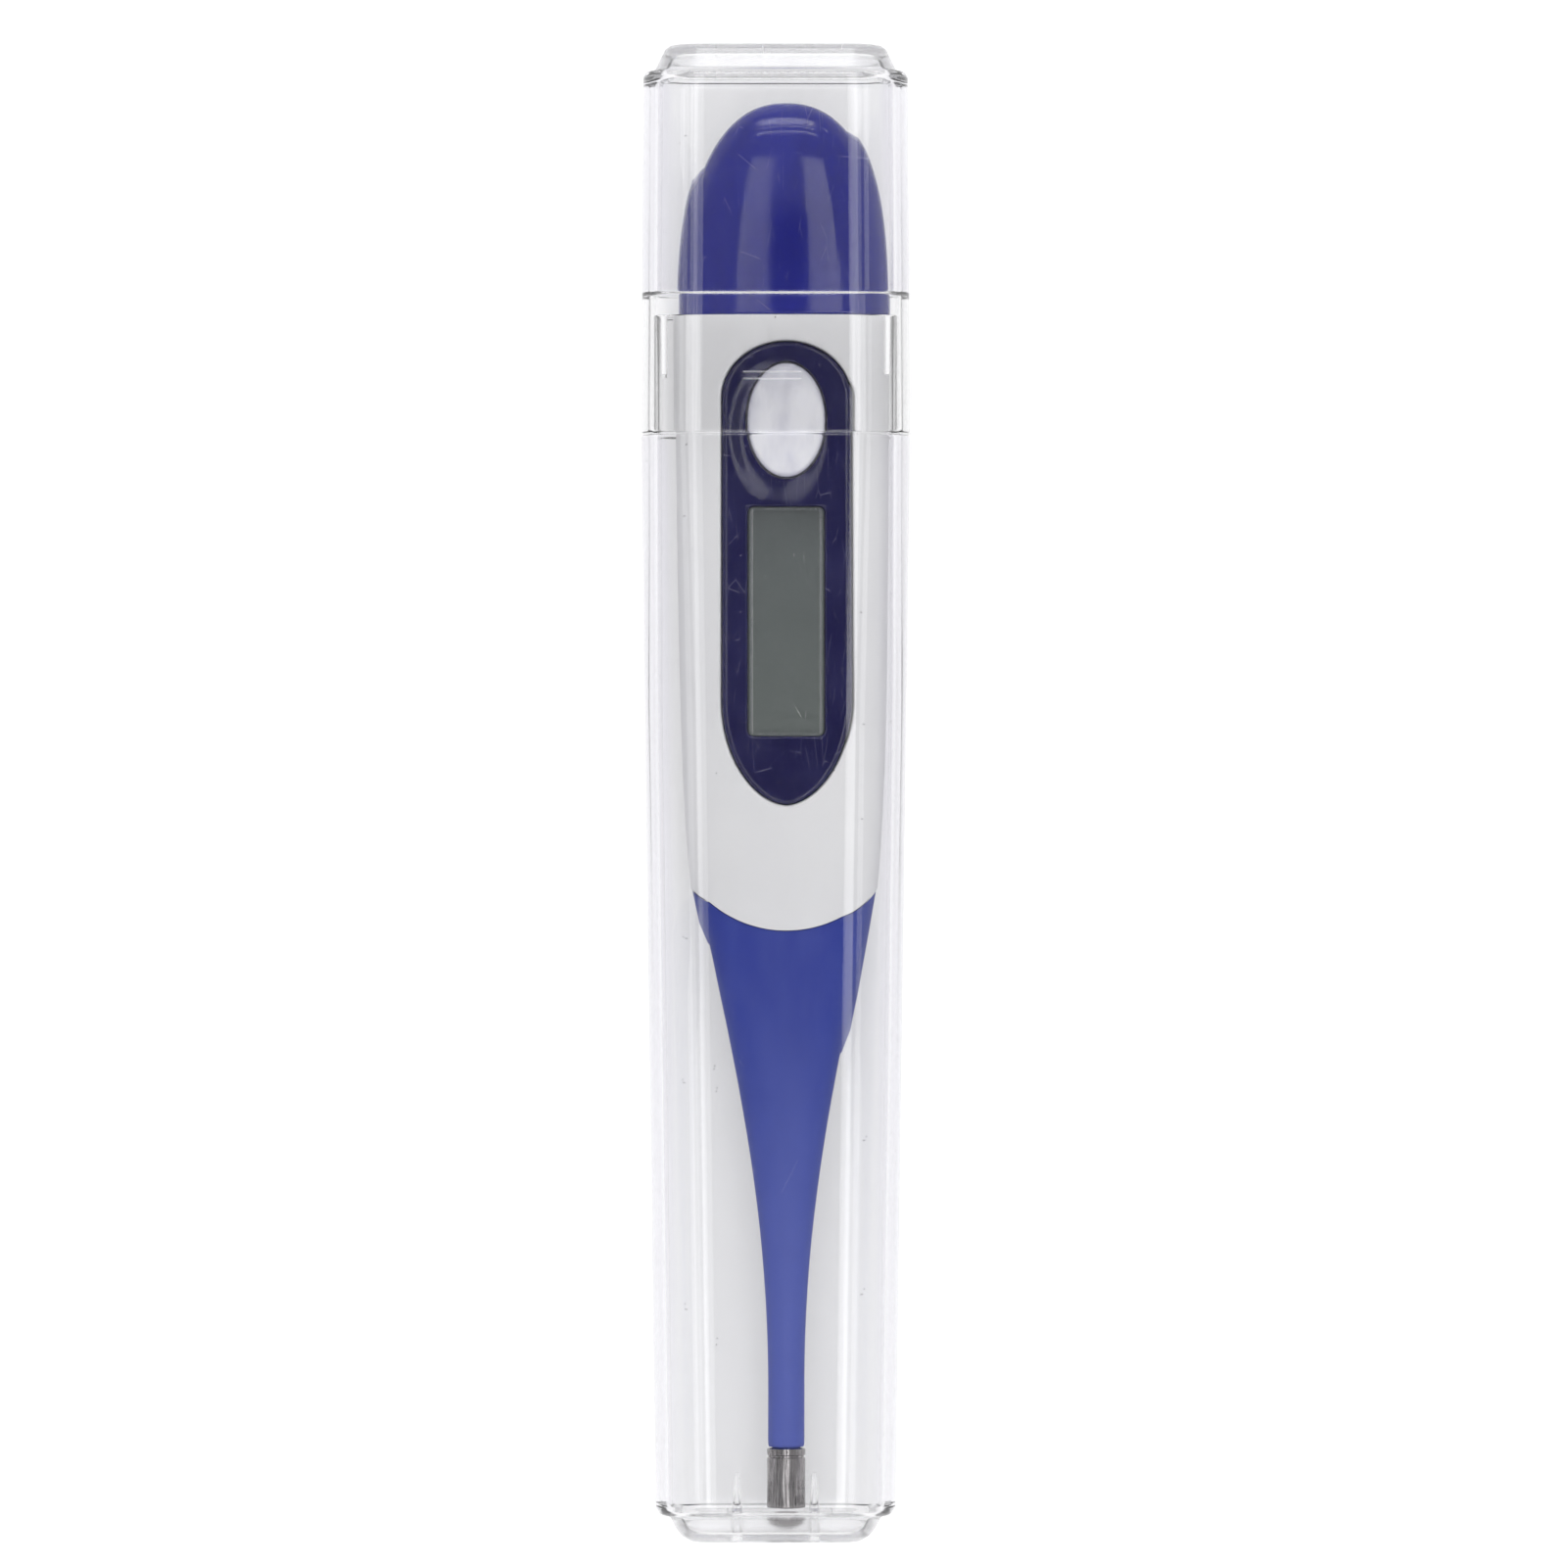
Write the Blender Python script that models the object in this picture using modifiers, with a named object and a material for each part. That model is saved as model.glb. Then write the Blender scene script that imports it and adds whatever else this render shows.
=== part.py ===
"""A digital thermometer with a flexible tip, lying in its clear storage case.

Frame: metres, +Z up. The case lies on its back, its cap points along +Y and the display faces +Z.
The origin is the middle of the case's underside. The sizes below are in millimetres, and
every one is turned into metres by mm() or by the shape functions.
"""

import math

import bmesh
import bpy
from mathutils import Matrix, Vector

# ---------------------------------------------------------------- driving dimensions, in mm
HALF_LENGTH = 66.7
CASE_HALF_WIDTH = 12.0
CASE_DEPTH = 15.0
CASE_CORNER = 5.4
CASE_WALL = 1.1
FOOT_HALF_WIDTH = 10.7
FOOT_DEPTH = 13.8
CAP_HALF_WIDTH = 11.8
CAP_DEPTH = 14.8
SHOULDER = 64.3
FOOT_INSET = 1.3
CAP_INSET = 1.06
SEAM = 32.1
NECK_RIM = 42.5
CAP_STEP = 44.4
CAP_WALL = 0.75
CAP_UPPER_WALL = 1.3
FIT_GAP = 0.2
NECK_WALL = 0.45
RIB_SPACING = 6.9
RIB_THICKNESS = 0.95
FOOT_RECESS = (9.3, 0.5, 7.0)

THERMOMETER_X = 0.95
THERMOMETER_Z = 7.0
COVER_TOP = 61.6
COVER_EDGE = 42.6
COVER_HALF_WIDTH = 9.4
COVER_HALF_DEPTH = 4.9
HOUSING_HALF_WIDTH = 9.53
HOUSING_HALF_DEPTH = 5.0
HOUSING_END = -8.4
HOUSING_END_HALF_WIDTH = 8.05
HOUSING_END_HALF_DEPTH = 4.2
HOUSING_WALL = 1.2
END_ARC_RADIUS = 10.5
END_ARC_LOWEST = -12.2
STEM_RADIUS = 1.62
STEM_END = -58.3
TIP_RADIUS = 1.72
TIP_END = -65.4
TIP_WALL = 0.25
PIVOT_Y = -50.0

BEZEL_HALF_WIDTH = 5.72
BEZEL_TOP = 40.2
BEZEL_BOTTOM = -1.0
BEZEL_ARCH = 5.0
BEZEL_OGIVE = 9.2
BEZEL_TAPER = 1.12
BEZEL_RECESS = 0.1
BEZEL_THICKNESS = 1.0
WINDOW = (6.6, 20.2)
WINDOW_Y = 15.3
BUTTON = (6.9, 10.1)
BUTTON_Y = 33.2
BUTTON_PROUD = 0.35

BATTERY_DIAMETER = 7.9
BATTERY_HEIGHT = 3.6
BATTERY_Y = 50.5
BOARD_END = -2.4
GAP = 0.3
SMALL_GAP = 0.15

BODY_POWER = 2.8
COVER_OUTLINE_POWER = 2.3


def mm(value):
    return value * 0.001


def lerp(a, b, t):
    return a + (b - a) * t


# ---------------------------------------------------------------- scene, materials, objects
def clear_scene():
    for obj in list(bpy.data.objects):
        bpy.data.objects.remove(obj)


def collection(name, hidden=False):
    made = bpy.data.collections.new(name)
    bpy.context.scene.collection.children.link(made)
    made.hide_render = hidden
    return made


def material(name, colour, roughness, metallic=0.0, alpha=1.0):
    made = bpy.data.materials.new(name)
    made.use_nodes = True
    shader = made.node_tree.nodes["Principled BSDF"]
    shader.inputs["Base Color"].default_value = (*colour, 1.0)
    shader.inputs["Roughness"].default_value = roughness
    shader.inputs["Metallic"].default_value = metallic
    shader.inputs["Alpha"].default_value = alpha
    made.diffuse_color = (*colour, alpha)
    return made


clear_scene()
PARTS = collection("digital_thermometer")
CUTTERS = collection("cutters", hidden=True)

CLEAR = material("clear polystyrene", (0.93, 0.94, 0.97), 0.05, alpha=0.3)
WHITE = material("white ABS", (0.80, 0.80, 0.80), 0.35)
BLUE_GLOSS = material("royal blue ABS", (0.025, 0.028, 0.22), 0.12)
BLUE_SOFT = material("blue thermoplastic rubber", (0.06, 0.09, 0.38), 0.6)
NAVY = material("navy acrylic", (0.022, 0.021, 0.078), 0.15)
WINDOW_CLEAR = material("clear acrylic", (0.9, 0.9, 0.9), 0.05, alpha=0.3)
LCD_GREY = material("display glass", (0.11, 0.13, 0.12), 0.2)
BUTTON_WHITE = material("translucent silicone", (0.57, 0.56, 0.66), 0.35)
STEEL = material("plated steel", (0.55, 0.54, 0.54), 0.2, 1.0)
BRASS = material("brass", (0.75, 0.55, 0.22), 0.3, 1.0)
BOARD_GREEN = material("board laminate", (0.02, 0.16, 0.07), 0.45)
BLACK = material("black epoxy", (0.01, 0.01, 0.01), 0.4)
CERAMIC = material("piezo ceramic", (0.72, 0.70, 0.64), 0.5)
TAN = material("capacitor ceramic", (0.45, 0.30, 0.16), 0.5)
FILM = material("reflector film", (0.62, 0.65, 0.62), 0.35)
ELASTOMER = material("conductive elastomer", (0.78, 0.48, 0.52), 0.6)
SEAL_RUBBER = material("seal rubber", (0.03, 0.03, 0.035), 0.7)
POTTING = material("potting epoxy", (0.55, 0.42, 0.20), 0.35)
WIRE_RED = material("red wire enamel", (0.5, 0.04, 0.02), 0.4)


def add(name, bm, finish=None):
    """Turns a bmesh into an object: a part when it has a finish, and a hidden cutter when not."""
    bmesh.ops.recalc_face_normals(bm, faces=bm.faces[:])
    mesh = bpy.data.meshes.new(name)
    bm.to_mesh(mesh)
    bm.free()
    obj = bpy.data.objects.new(name, mesh)
    if finish is None:
        CUTTERS.objects.link(obj)
        obj.hide_render = True
        obj.display_type = "WIRE"
    else:
        PARTS.objects.link(obj)
        mesh.materials.append(finish)
        mesh.shade_smooth()
        mesh.set_sharp_from_angle(angle=math.radians(35))
    return obj


def boolean(obj, operation, *others):
    for other in others:
        modifier = obj.modifiers.new(f"{operation.lower()} {other.name}", "BOOLEAN")
        modifier.operation = operation
        modifier.solver = "EXACT"
        modifier.object = other


def cut(obj, *others):
    boolean(obj, "DIFFERENCE", *others)


def join(obj, *others):
    boolean(obj, "UNION", *others)


# ---------------------------------------------------------------- shapes
def loft(name, rings, finish=None, at=(0.0, 0.0)):
    """A skin over closed rings of (x, y, z) in mm, capped at both ends and moved by at (x, z)."""
    bm = bmesh.new()
    loops = []
    for ring in rings:
        corners = [bm.verts.new((mm(x + at[0]), mm(y), mm(z + at[1]))) for x, y, z in ring]
        loops.append(corners)
    for lower, upper in zip(loops, loops[1:]):
        for i in range(len(lower)):
            j = (i + 1) % len(lower)
            bm.faces.new((lower[i], lower[j], upper[j], upper[i]))
    bm.faces.new(loops[0])
    bm.faces.new(loops[-1])
    return add(name, bm, finish)


def box(name, low, high, finish=None, bevel=0.0):
    """A block between two corners, in mm, with its edges rounded by bevel."""
    bm = bmesh.new()
    bmesh.ops.create_cube(bm, size=1.0)
    size = [mm(b - a) for a, b in zip(low, high)]
    middle = [mm((a + b) / 2) for a, b in zip(low, high)]
    bmesh.ops.scale(bm, vec=size, verts=bm.verts)
    bmesh.ops.translate(bm, vec=middle, verts=bm.verts)
    obj = add(name, bm, finish)
    if bevel:
        rounding = obj.modifiers.new("rounded edges", "BEVEL")
        rounding.width = mm(bevel)
        rounding.segments = 2
    return obj


def cylinder(name, centre, radius, length, axis="Z", segments=32, finish=None):
    """A cylinder about its centre, in mm, along Y or Z."""
    bm = bmesh.new()
    bmesh.ops.create_cone(
        bm, cap_ends=True, segments=segments, radius1=mm(radius), radius2=mm(radius), depth=mm(length)
    )
    if axis == "Y":
        bmesh.ops.rotate(bm, matrix=Matrix.Rotation(math.radians(90), 3, "X"), verts=bm.verts)
    bmesh.ops.translate(bm, vec=[mm(value) for value in centre], verts=bm.verts)
    return add(name, bm, finish)


def prism(name, outline, low, high, finish=None):
    """A flat (x, y) outline in mm, standing from z low to z high."""
    bm = bmesh.new()
    corners = [bm.verts.new((mm(x), mm(y), mm(low))) for x, y in outline]
    base = bm.faces.new(corners)
    grown = bmesh.ops.extrude_face_region(bm, geom=[base])
    top = [item for item in grown["geom"] if isinstance(item, bmesh.types.BMVert)]
    bmesh.ops.translate(bm, vec=(0, 0, mm(high - low)), verts=top)
    return add(name, bm, finish)


def turned(name, profile, finish, origin, segments=24, upright=False):
    """A profile of (radius, height) in mm, top to bottom, turned about Y, or about Z when upright."""
    mesh = bpy.data.meshes.new(name)
    points = [(mm(radius), 0.0, mm(height)) for radius, height in profile]
    mesh.from_pydata(points, [(i, i + 1) for i in range(len(points) - 1)], [])
    obj = bpy.data.objects.new(name, mesh)
    PARTS.objects.link(obj)
    mesh.materials.append(finish)
    screw = obj.modifiers.new("turned", "SCREW")
    screw.steps = segments
    screw.render_steps = segments
    screw.use_merge_vertices = True
    screw.merge_threshold = 0.00001
    screw.use_smooth_shade = True
    obj.location = [mm(value) for value in origin]
    if not upright:
        obj.rotation_euler = (math.radians(-90), 0, 0)
    return obj


def superellipse(half_width, half_depth, power, y, count=32):
    ring = []
    for i in range(count):
        angle = 2 * math.pi * (i + 0.5) / count
        across = math.copysign(abs(math.cos(angle)) ** (2 / power), math.cos(angle))
        up = math.copysign(abs(math.sin(angle)) ** (2 / power), math.sin(angle))
        ring.append((half_width * across, y, half_depth * up))
    return ring


def rounded_rectangle(half_width, low, high, radius, y, steps=5):
    """A ring in the XZ plane at y, with round corners."""
    ring = []
    corners = (
        (half_width - radius, high - radius, 0),
        (radius - half_width, high - radius, 90),
        (radius - half_width, low + radius, 180),
        (half_width - radius, low + radius, 270),
    )
    for x, z, start in corners:
        for step in range(steps + 1):
            angle = math.radians(start + 90 * step / steps)
            ring.append((x + radius * math.cos(angle), y, z + radius * math.sin(angle)))
    return ring


def bezier(points, t):
    """A point of the cubic Bezier curve with these four control points."""
    weights = ((1 - t) ** 3, 3 * t * (1 - t) ** 2, 3 * t * t * (1 - t), t ** 3)
    return [sum(w * p[k] for w, p in zip(weights, points)) for k in range(len(points[0]))]


def placed(x, z):
    """A point of the thermometer's own XZ frame in the case's frame."""
    return x + THERMOMETER_X, z + THERMOMETER_Z


AXIS = placed(0.0, 0.0)


# ---------------------------------------------------------------- storage case
def case_section(y, inset, half_width, depth, back=0.0, corner=None):
    """The case's section at y, drawn in by inset on all four sides."""
    radius = max((CASE_CORNER if corner is None else corner) - inset, 0.8)
    return rounded_rectangle(half_width - inset, back + inset, depth - inset, radius, y)


def body_section(y, inset):
    """The case body's drafted section: its back stays flat and its other sides draw in."""
    t = max(SEAM - y, 0.0) / (SEAM + SHOULDER)
    half_width = lerp(CASE_HALF_WIDTH, FOOT_HALF_WIDTH, t)
    return case_section(y, inset, half_width, lerp(CASE_DEPTH, FOOT_DEPTH, t))


def cap_section(y, inset):
    t = (y - SEAM) / (SHOULDER - SEAM)
    half_width = lerp(CASE_HALF_WIDTH, CAP_HALF_WIDTH, t)
    return case_section(y, inset, half_width, lerp(CASE_DEPTH, CAP_DEPTH, t))


def foot_sections(inset=0.0):
    """The outer skin of the foot, from its flat end past the shoulder, drawn in by inset."""
    return [
        body_section(-HALF_LENGTH + inset, FOOT_INSET + 1.9 + inset),
        body_section(-HALF_LENGTH + 0.5 + inset, FOOT_INSET + 1.0 + inset),
        body_section(-HALF_LENGTH + 1.3, FOOT_INSET + 0.4 + inset),
        body_section(-SHOULDER - 0.2 + inset, FOOT_INSET + inset),
        body_section(-SHOULDER + inset, 0.45 + inset),
        body_section(-SHOULDER + 0.6 + inset, inset),
    ]


def build_case_body():
    neck = CAP_WALL + FIT_GAP
    mouth = neck + NECK_WALL
    outer = foot_sections() + [
        body_section(SEAM - FIT_GAP, 0.0),
        body_section(SEAM - FIT_GAP + 0.01, neck),
        body_section(NECK_RIM, neck + 0.03),
    ]
    inner = [
        body_section(TIP_END - GAP, FOOT_INSET + CASE_WALL + 0.6),
        body_section(TIP_END + 0.6, FOOT_INSET + CASE_WALL),
        body_section(-SHOULDER + 1.0, FOOT_INSET + CASE_WALL - 0.2),
        body_section(-SHOULDER + 1.3, CASE_WALL + 0.2),
        body_section(-SHOULDER + 2.4, CASE_WALL),
        body_section(SEAM - 4.0, CASE_WALL),
        body_section(SEAM - 2.0, mouth),
        body_section(NECK_RIM + 1.0, mouth),
    ]
    body = loft("case_body", outer, CLEAR)
    cut(body, loft("case_body_hollow", inner))

    wide, deep, high = FOOT_RECESS
    middle = FOOT_DEPTH / 2
    recess = box(
        "foot_recess",
        (-wide / 2, -HALF_LENGTH - 1, middle - high / 2),
        (wide / 2, -HALF_LENGTH + deep, middle + high / 2),
    )
    cut(body, recess)
    join(body, rib("left_rib", -1), rib("right_rib", 1))
    return body


def rib(name, side):
    """A fin on the foot's floor beside the probe, taller at the back and thinner at its top."""
    floor = TIP_END - GAP - 0.4
    back, front = CASE_WALL - 0.3, FOOT_DEPTH - 3.6
    feet = ((-1, back), (1, back), (1, front), (-1, front))
    rings = []
    for height, thickness, lean in ((0.0, RIB_THICKNESS, 0.0), (3.0, 0.75, 0.35), (5.2, 0.45, 4.5)):
        ring = []
        for across, z in feet:
            x = side * RIB_SPACING / 2 + across * thickness / 2
            ring.append((x, floor + height, z - (lean if z == front else 0.0)))
        rings.append(ring)
    fin = loft(name, rings)
    limit = foot_sections(0.4) + [body_section(-SHOULDER + 10, 0.4)]
    boolean(fin, "INTERSECT", loft(name + "_limit", limit))
    return fin


def build_case_cap():
    mouth = SEAM
    outer = [
        cap_section(mouth, 0.0),
        cap_section(SHOULDER - 0.5, 0.0),
        cap_section(SHOULDER, 0.35),
        cap_section(SHOULDER + 0.1, CAP_INSET),
        cap_section(HALF_LENGTH - 0.4, CAP_INSET + 0.9),
        cap_section(HALF_LENGTH - 0.1, CAP_INSET + 1.35),
        cap_section(HALF_LENGTH, CAP_INSET + 2.1),
    ]
    inner = [
        cap_section(mouth - 1.0, CAP_WALL),
        cap_section(CAP_STEP, CAP_WALL),
        cap_section(CAP_STEP + 0.1, CAP_UPPER_WALL),
        cap_section(SHOULDER - 1.0, CAP_UPPER_WALL),
        cap_section(SHOULDER - 0.7, CAP_INSET + 1.1),
        cap_section(HALF_LENGTH - 1.1, CAP_INSET + 1.8),
    ]
    cap = loft("case_cap", outer, CLEAR)
    cut(cap, loft("case_cap_hollow", inner))
    return cap


# ---------------------------------------------------------------- thermometer skin
def housing_size(t):
    """(y, half width, half depth) down the housing, from the cover at t = 0 to the stem at 1."""
    return bezier(
        (
            (COVER_EDGE, HOUSING_HALF_WIDTH, HOUSING_HALF_DEPTH),
            (20.0, 9.3, HOUSING_HALF_DEPTH),
            (3.0, 9.5, 4.9),
            (HOUSING_END, HOUSING_END_HALF_WIDTH, HOUSING_END_HALF_DEPTH),
        ),
        t,
    )


def stem_size(t):
    """(y, half width, half depth) down the flexible stem, from the housing to its round end."""
    return bezier(
        (
            (HOUSING_END, HOUSING_END_HALF_WIDTH - 0.1, HOUSING_END_HALF_DEPTH - 0.05),
            (-24.0, 4.6, 3.1),
            (-36.0, 1.75, 1.75),
            (-52.0, STEM_RADIUS, STEM_RADIUS),
        ),
        t,
    )


def cover_size(t):
    """(y, half width, half depth) up the battery cover, from its open edge to its round end."""
    y = lerp(COVER_EDGE, COVER_TOP, math.sin(t * math.pi / 2))
    rise = (y - COVER_EDGE) / (COVER_TOP - COVER_EDGE)
    narrow = (1 - rise ** COVER_OUTLINE_POWER) ** (1 / COVER_OUTLINE_POWER)
    thin = (1 - rise ** 3.0) ** (1 / 2.5)
    return y, COVER_HALF_WIDTH * narrow, COVER_HALF_DEPTH * thin


def housing_rings(inset, first=0.0, last=1.0, count=10):
    rings = []
    for i in range(count + 1):
        y, wide, deep = housing_size(lerp(first, last, i / count))
        rings.append(superellipse(wide - inset, deep - inset, BODY_POWER, y))
    return rings


def extended(rings, y, shrink):
    """The rings with one more after them, at y, drawn in by shrink towards the axis."""
    return rings + [[(x * shrink, y, z * shrink) for x, _, z in rings[-1]]]


def build_housing():
    outer = extended(housing_rings(0.0), END_ARC_LOWEST - 1.0, 0.93)
    top = [(x, COVER_EDGE + 2.0, z) for x, _, z in housing_rings(HOUSING_WALL)[0]]
    inner = [top] + extended(housing_rings(HOUSING_WALL), END_ARC_LOWEST - 3.0, 0.9)
    housing = loft("housing", outer, WHITE, AXIS)
    cut(housing, loft("housing_hollow", inner, at=AXIS))
    cut(housing, housing_end_cutter(), bezel_prism("bezel_aperture", SMALL_GAP))
    return housing


def housing_end_cutter():
    """What lies below the round lower edge of the housing, seen from the front."""
    x, z = AXIS
    centre = END_ARC_LOWEST + END_ARC_RADIUS
    block = box("housing_end", (x - 15, -30, z - 8), (x + 15, centre, z + 8))
    cut(block, cylinder("housing_end_arc", (x, centre, z), END_ARC_RADIUS, 20, segments=96))
    return block


def bezel_outline(grow):
    """The panel's outline about x = 0: a half ellipse on top, straight sides, a blunt point below."""
    wide = BEZEL_HALF_WIDTH + grow
    arch, ogive = BEZEL_TOP - BEZEL_ARCH, BEZEL_BOTTOM + BEZEL_OGIVE
    outline = []
    for step in range(17):
        angle = math.pi * step / 16
        outline.append((wide * math.cos(angle), arch + (BEZEL_ARCH + grow) * math.sin(angle)))
    for step in range(17):
        angle = math.pi + math.pi * step / 16
        across = math.copysign(abs(math.cos(angle)) ** BEZEL_TAPER, math.cos(angle))
        outline.append((wide * across, ogive + (BEZEL_OGIVE + grow) * math.sin(angle)))
    return outline


def bezel_prism(name, grow, finish=None):
    x, z = AXIS
    outline = [(x + px, py) for px, py in bezel_outline(grow)]
    return prism(name, outline, z + 0.5, z + 8.0, finish)


def build_front_bezel():
    x, z = AXIS
    first, last = 0.0, 0.93
    bezel = bezel_prism("front_bezel", 0.0, NAVY)
    skin = loft("bezel_skin", housing_rings(BEZEL_RECESS, first, last), at=AXIS)
    under = loft("bezel_under", housing_rings(BEZEL_RECESS + BEZEL_THICKNESS, first, last), at=AXIS)
    boolean(bezel, "INTERSECT", skin)
    cut(bezel, under)
    wide, tall = WINDOW
    window = box(
        "window_hole",
        (x - wide / 2 - SMALL_GAP, WINDOW_Y - tall / 2 - SMALL_GAP, z),
        (x + wide / 2 + SMALL_GAP, WINDOW_Y + tall / 2 + SMALL_GAP, z + 8),
    )
    hole = prism("button_hole", oval(*BUTTON, BUTTON_Y, FIT_GAP), z, z + 8)
    cut(bezel, window, hole)
    return bezel


def oval(wide, tall, y, grow, count=32):
    """An ellipse about the thermometer's axis, in (x, y)."""
    points = []
    for i in range(count):
        angle = 2 * math.pi * i / count
        across = (wide / 2 + grow) * math.cos(angle)
        points.append((AXIS[0] + across, y + (tall / 2 + grow) * math.sin(angle)))
    return points


def build_display_lens():
    x, z = AXIS
    wide, tall = WINDOW
    top = z + HOUSING_HALF_DEPTH - BEZEL_RECESS - 0.25
    return box(
        "display_lens",
        (x - wide / 2, WINDOW_Y - tall / 2, top - 0.9),
        (x + wide / 2, WINDOW_Y + tall / 2, top),
        WINDOW_CLEAR,
        bevel=0.1,
    )


def build_power_button():
    """A domed oval key with a retaining flange below the panel and a plunger over the switch."""
    x, z = AXIS
    wide, tall = BUTTON
    surface = z + HOUSING_HALF_DEPTH - BEZEL_RECESS
    flange_top = z + 3.35
    levels = (
        (flange_top - 0.5, 0.4),
        (flange_top, 0.4),
        (flange_top + 0.01, 0.0),
        (surface - 0.1, 0.0),
        (surface + 0.15, -0.3),
        (surface + BUTTON_PROUD - 0.05, -1.0),
        (surface + BUTTON_PROUD, -2.2),
    )
    rings = []
    for level, grow in levels:
        rings.append([(px, py, level) for px, py in oval(wide, tall, BUTTON_Y, grow)])
    button = loft("power_button", rings, BUTTON_WHITE)
    plunger = cylinder("plunger", (x, BUTTON_Y, z + 2.65), 1.2, 0.8, segments=16)
    join(button, plunger)
    return button


def build_battery_cover():
    steps = 11
    outer, inner = [], []
    for i in range(steps + 1):
        y, wide, deep = cover_size(0.985 * i / steps)
        outer.append(superellipse(wide, deep, BODY_POWER, y))
        if wide > 3 * HOUSING_WALL:
            inner.append(superellipse(wide - HOUSING_WALL, deep - HOUSING_WALL, BODY_POWER, y))
    mouth = [(x, COVER_EDGE - 1.0, z) for x, _, z in inner[0]]
    cover = loft("battery_cover", outer, BLUE_GLOSS, AXIS)
    cut(cover, loft("battery_cover_hollow", [mouth] + inner, at=AXIS))
    return cover


def build_flexible_tip():
    """The soft stem, its plug inside the housing, its nipple inside the metal tip and its bore."""
    x, z = AXIS
    rings = []
    for i in range(17):
        t = i / 16
        y, wide, deep = stem_size(t)
        rings.append(superellipse(wide, deep, lerp(BODY_POWER, 2.0, t), y))
    rings.append(superellipse(STEM_RADIUS, STEM_RADIUS, 2.0, STEM_END))
    stem = loft("flexible_tip", rings, BLUE_SOFT, AXIS)
    centre = END_ARC_LOWEST + END_ARC_RADIUS
    cut(stem, cylinder("stem_arc", (x, centre, z), END_ARC_RADIUS + FIT_GAP, 20, segments=96))

    inset = HOUSING_WALL + FIT_GAP
    plug_rings = []
    for t in (0.86, 0.93, 1.0):
        y, wide, deep = housing_size(t)
        plug_rings.append(superellipse(wide - inset, deep - inset, BODY_POWER, y))
    plug_rings = extended(plug_rings, END_ARC_LOWEST - 1.5, 0.8)
    join(stem, loft("stem_plug", plug_rings, at=AXIS))
    nipple_y = STEM_END - 1.2
    join(stem, cylinder("stem_nipple", (x, nipple_y, z), 1.25, 3.0, "Y", 24))

    bore = [
        superellipse(4.6, 2.0, 2.0, 0.0, 24),
        superellipse(4.0, 1.6, 2.0, -9.0, 24),
        superellipse(0.8, 0.8, 2.0, -17.0, 24),
        superellipse(0.8, 0.8, 2.0, STEM_END - 5.0, 24),
    ]
    cut(stem, loft("stem_bore", bore, at=AXIS))
    return stem


def build_metal_tip():
    """A thin plated cup, its open end up against the stem, with a rolled band and a domed end."""
    x, z = AXIS
    top = STEM_END - SMALL_GAP
    inside = TIP_RADIUS - TIP_WALL
    dome = 1.1
    profile = [(inside, top), (TIP_RADIUS - 0.08, top), (TIP_RADIUS, top - 0.15)]
    profile += [(TIP_RADIUS, top - 0.55), (TIP_RADIUS - 0.08, top - 0.7)]
    profile += [(TIP_RADIUS - 0.08, top - 0.85), (TIP_RADIUS, top - 1.0)]
    for step in range(6):
        angle = math.radians(90 * step / 5)
        profile.append((TIP_RADIUS * math.cos(angle), TIP_END + dome - dome * math.sin(angle)))
    profile[-1] = (0.0, TIP_END)
    for step in range(6):
        angle = math.radians(90 - 90 * step / 5)
        height = TIP_END + dome - (dome - TIP_WALL) * math.sin(angle)
        profile.append((inside * math.cos(angle), height))
    profile[-6] = (0.0, TIP_END + TIP_WALL)
    profile.append((inside, top))
    return turned("metal_tip", profile, STEEL, (x, 0, z), segments=32)


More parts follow.
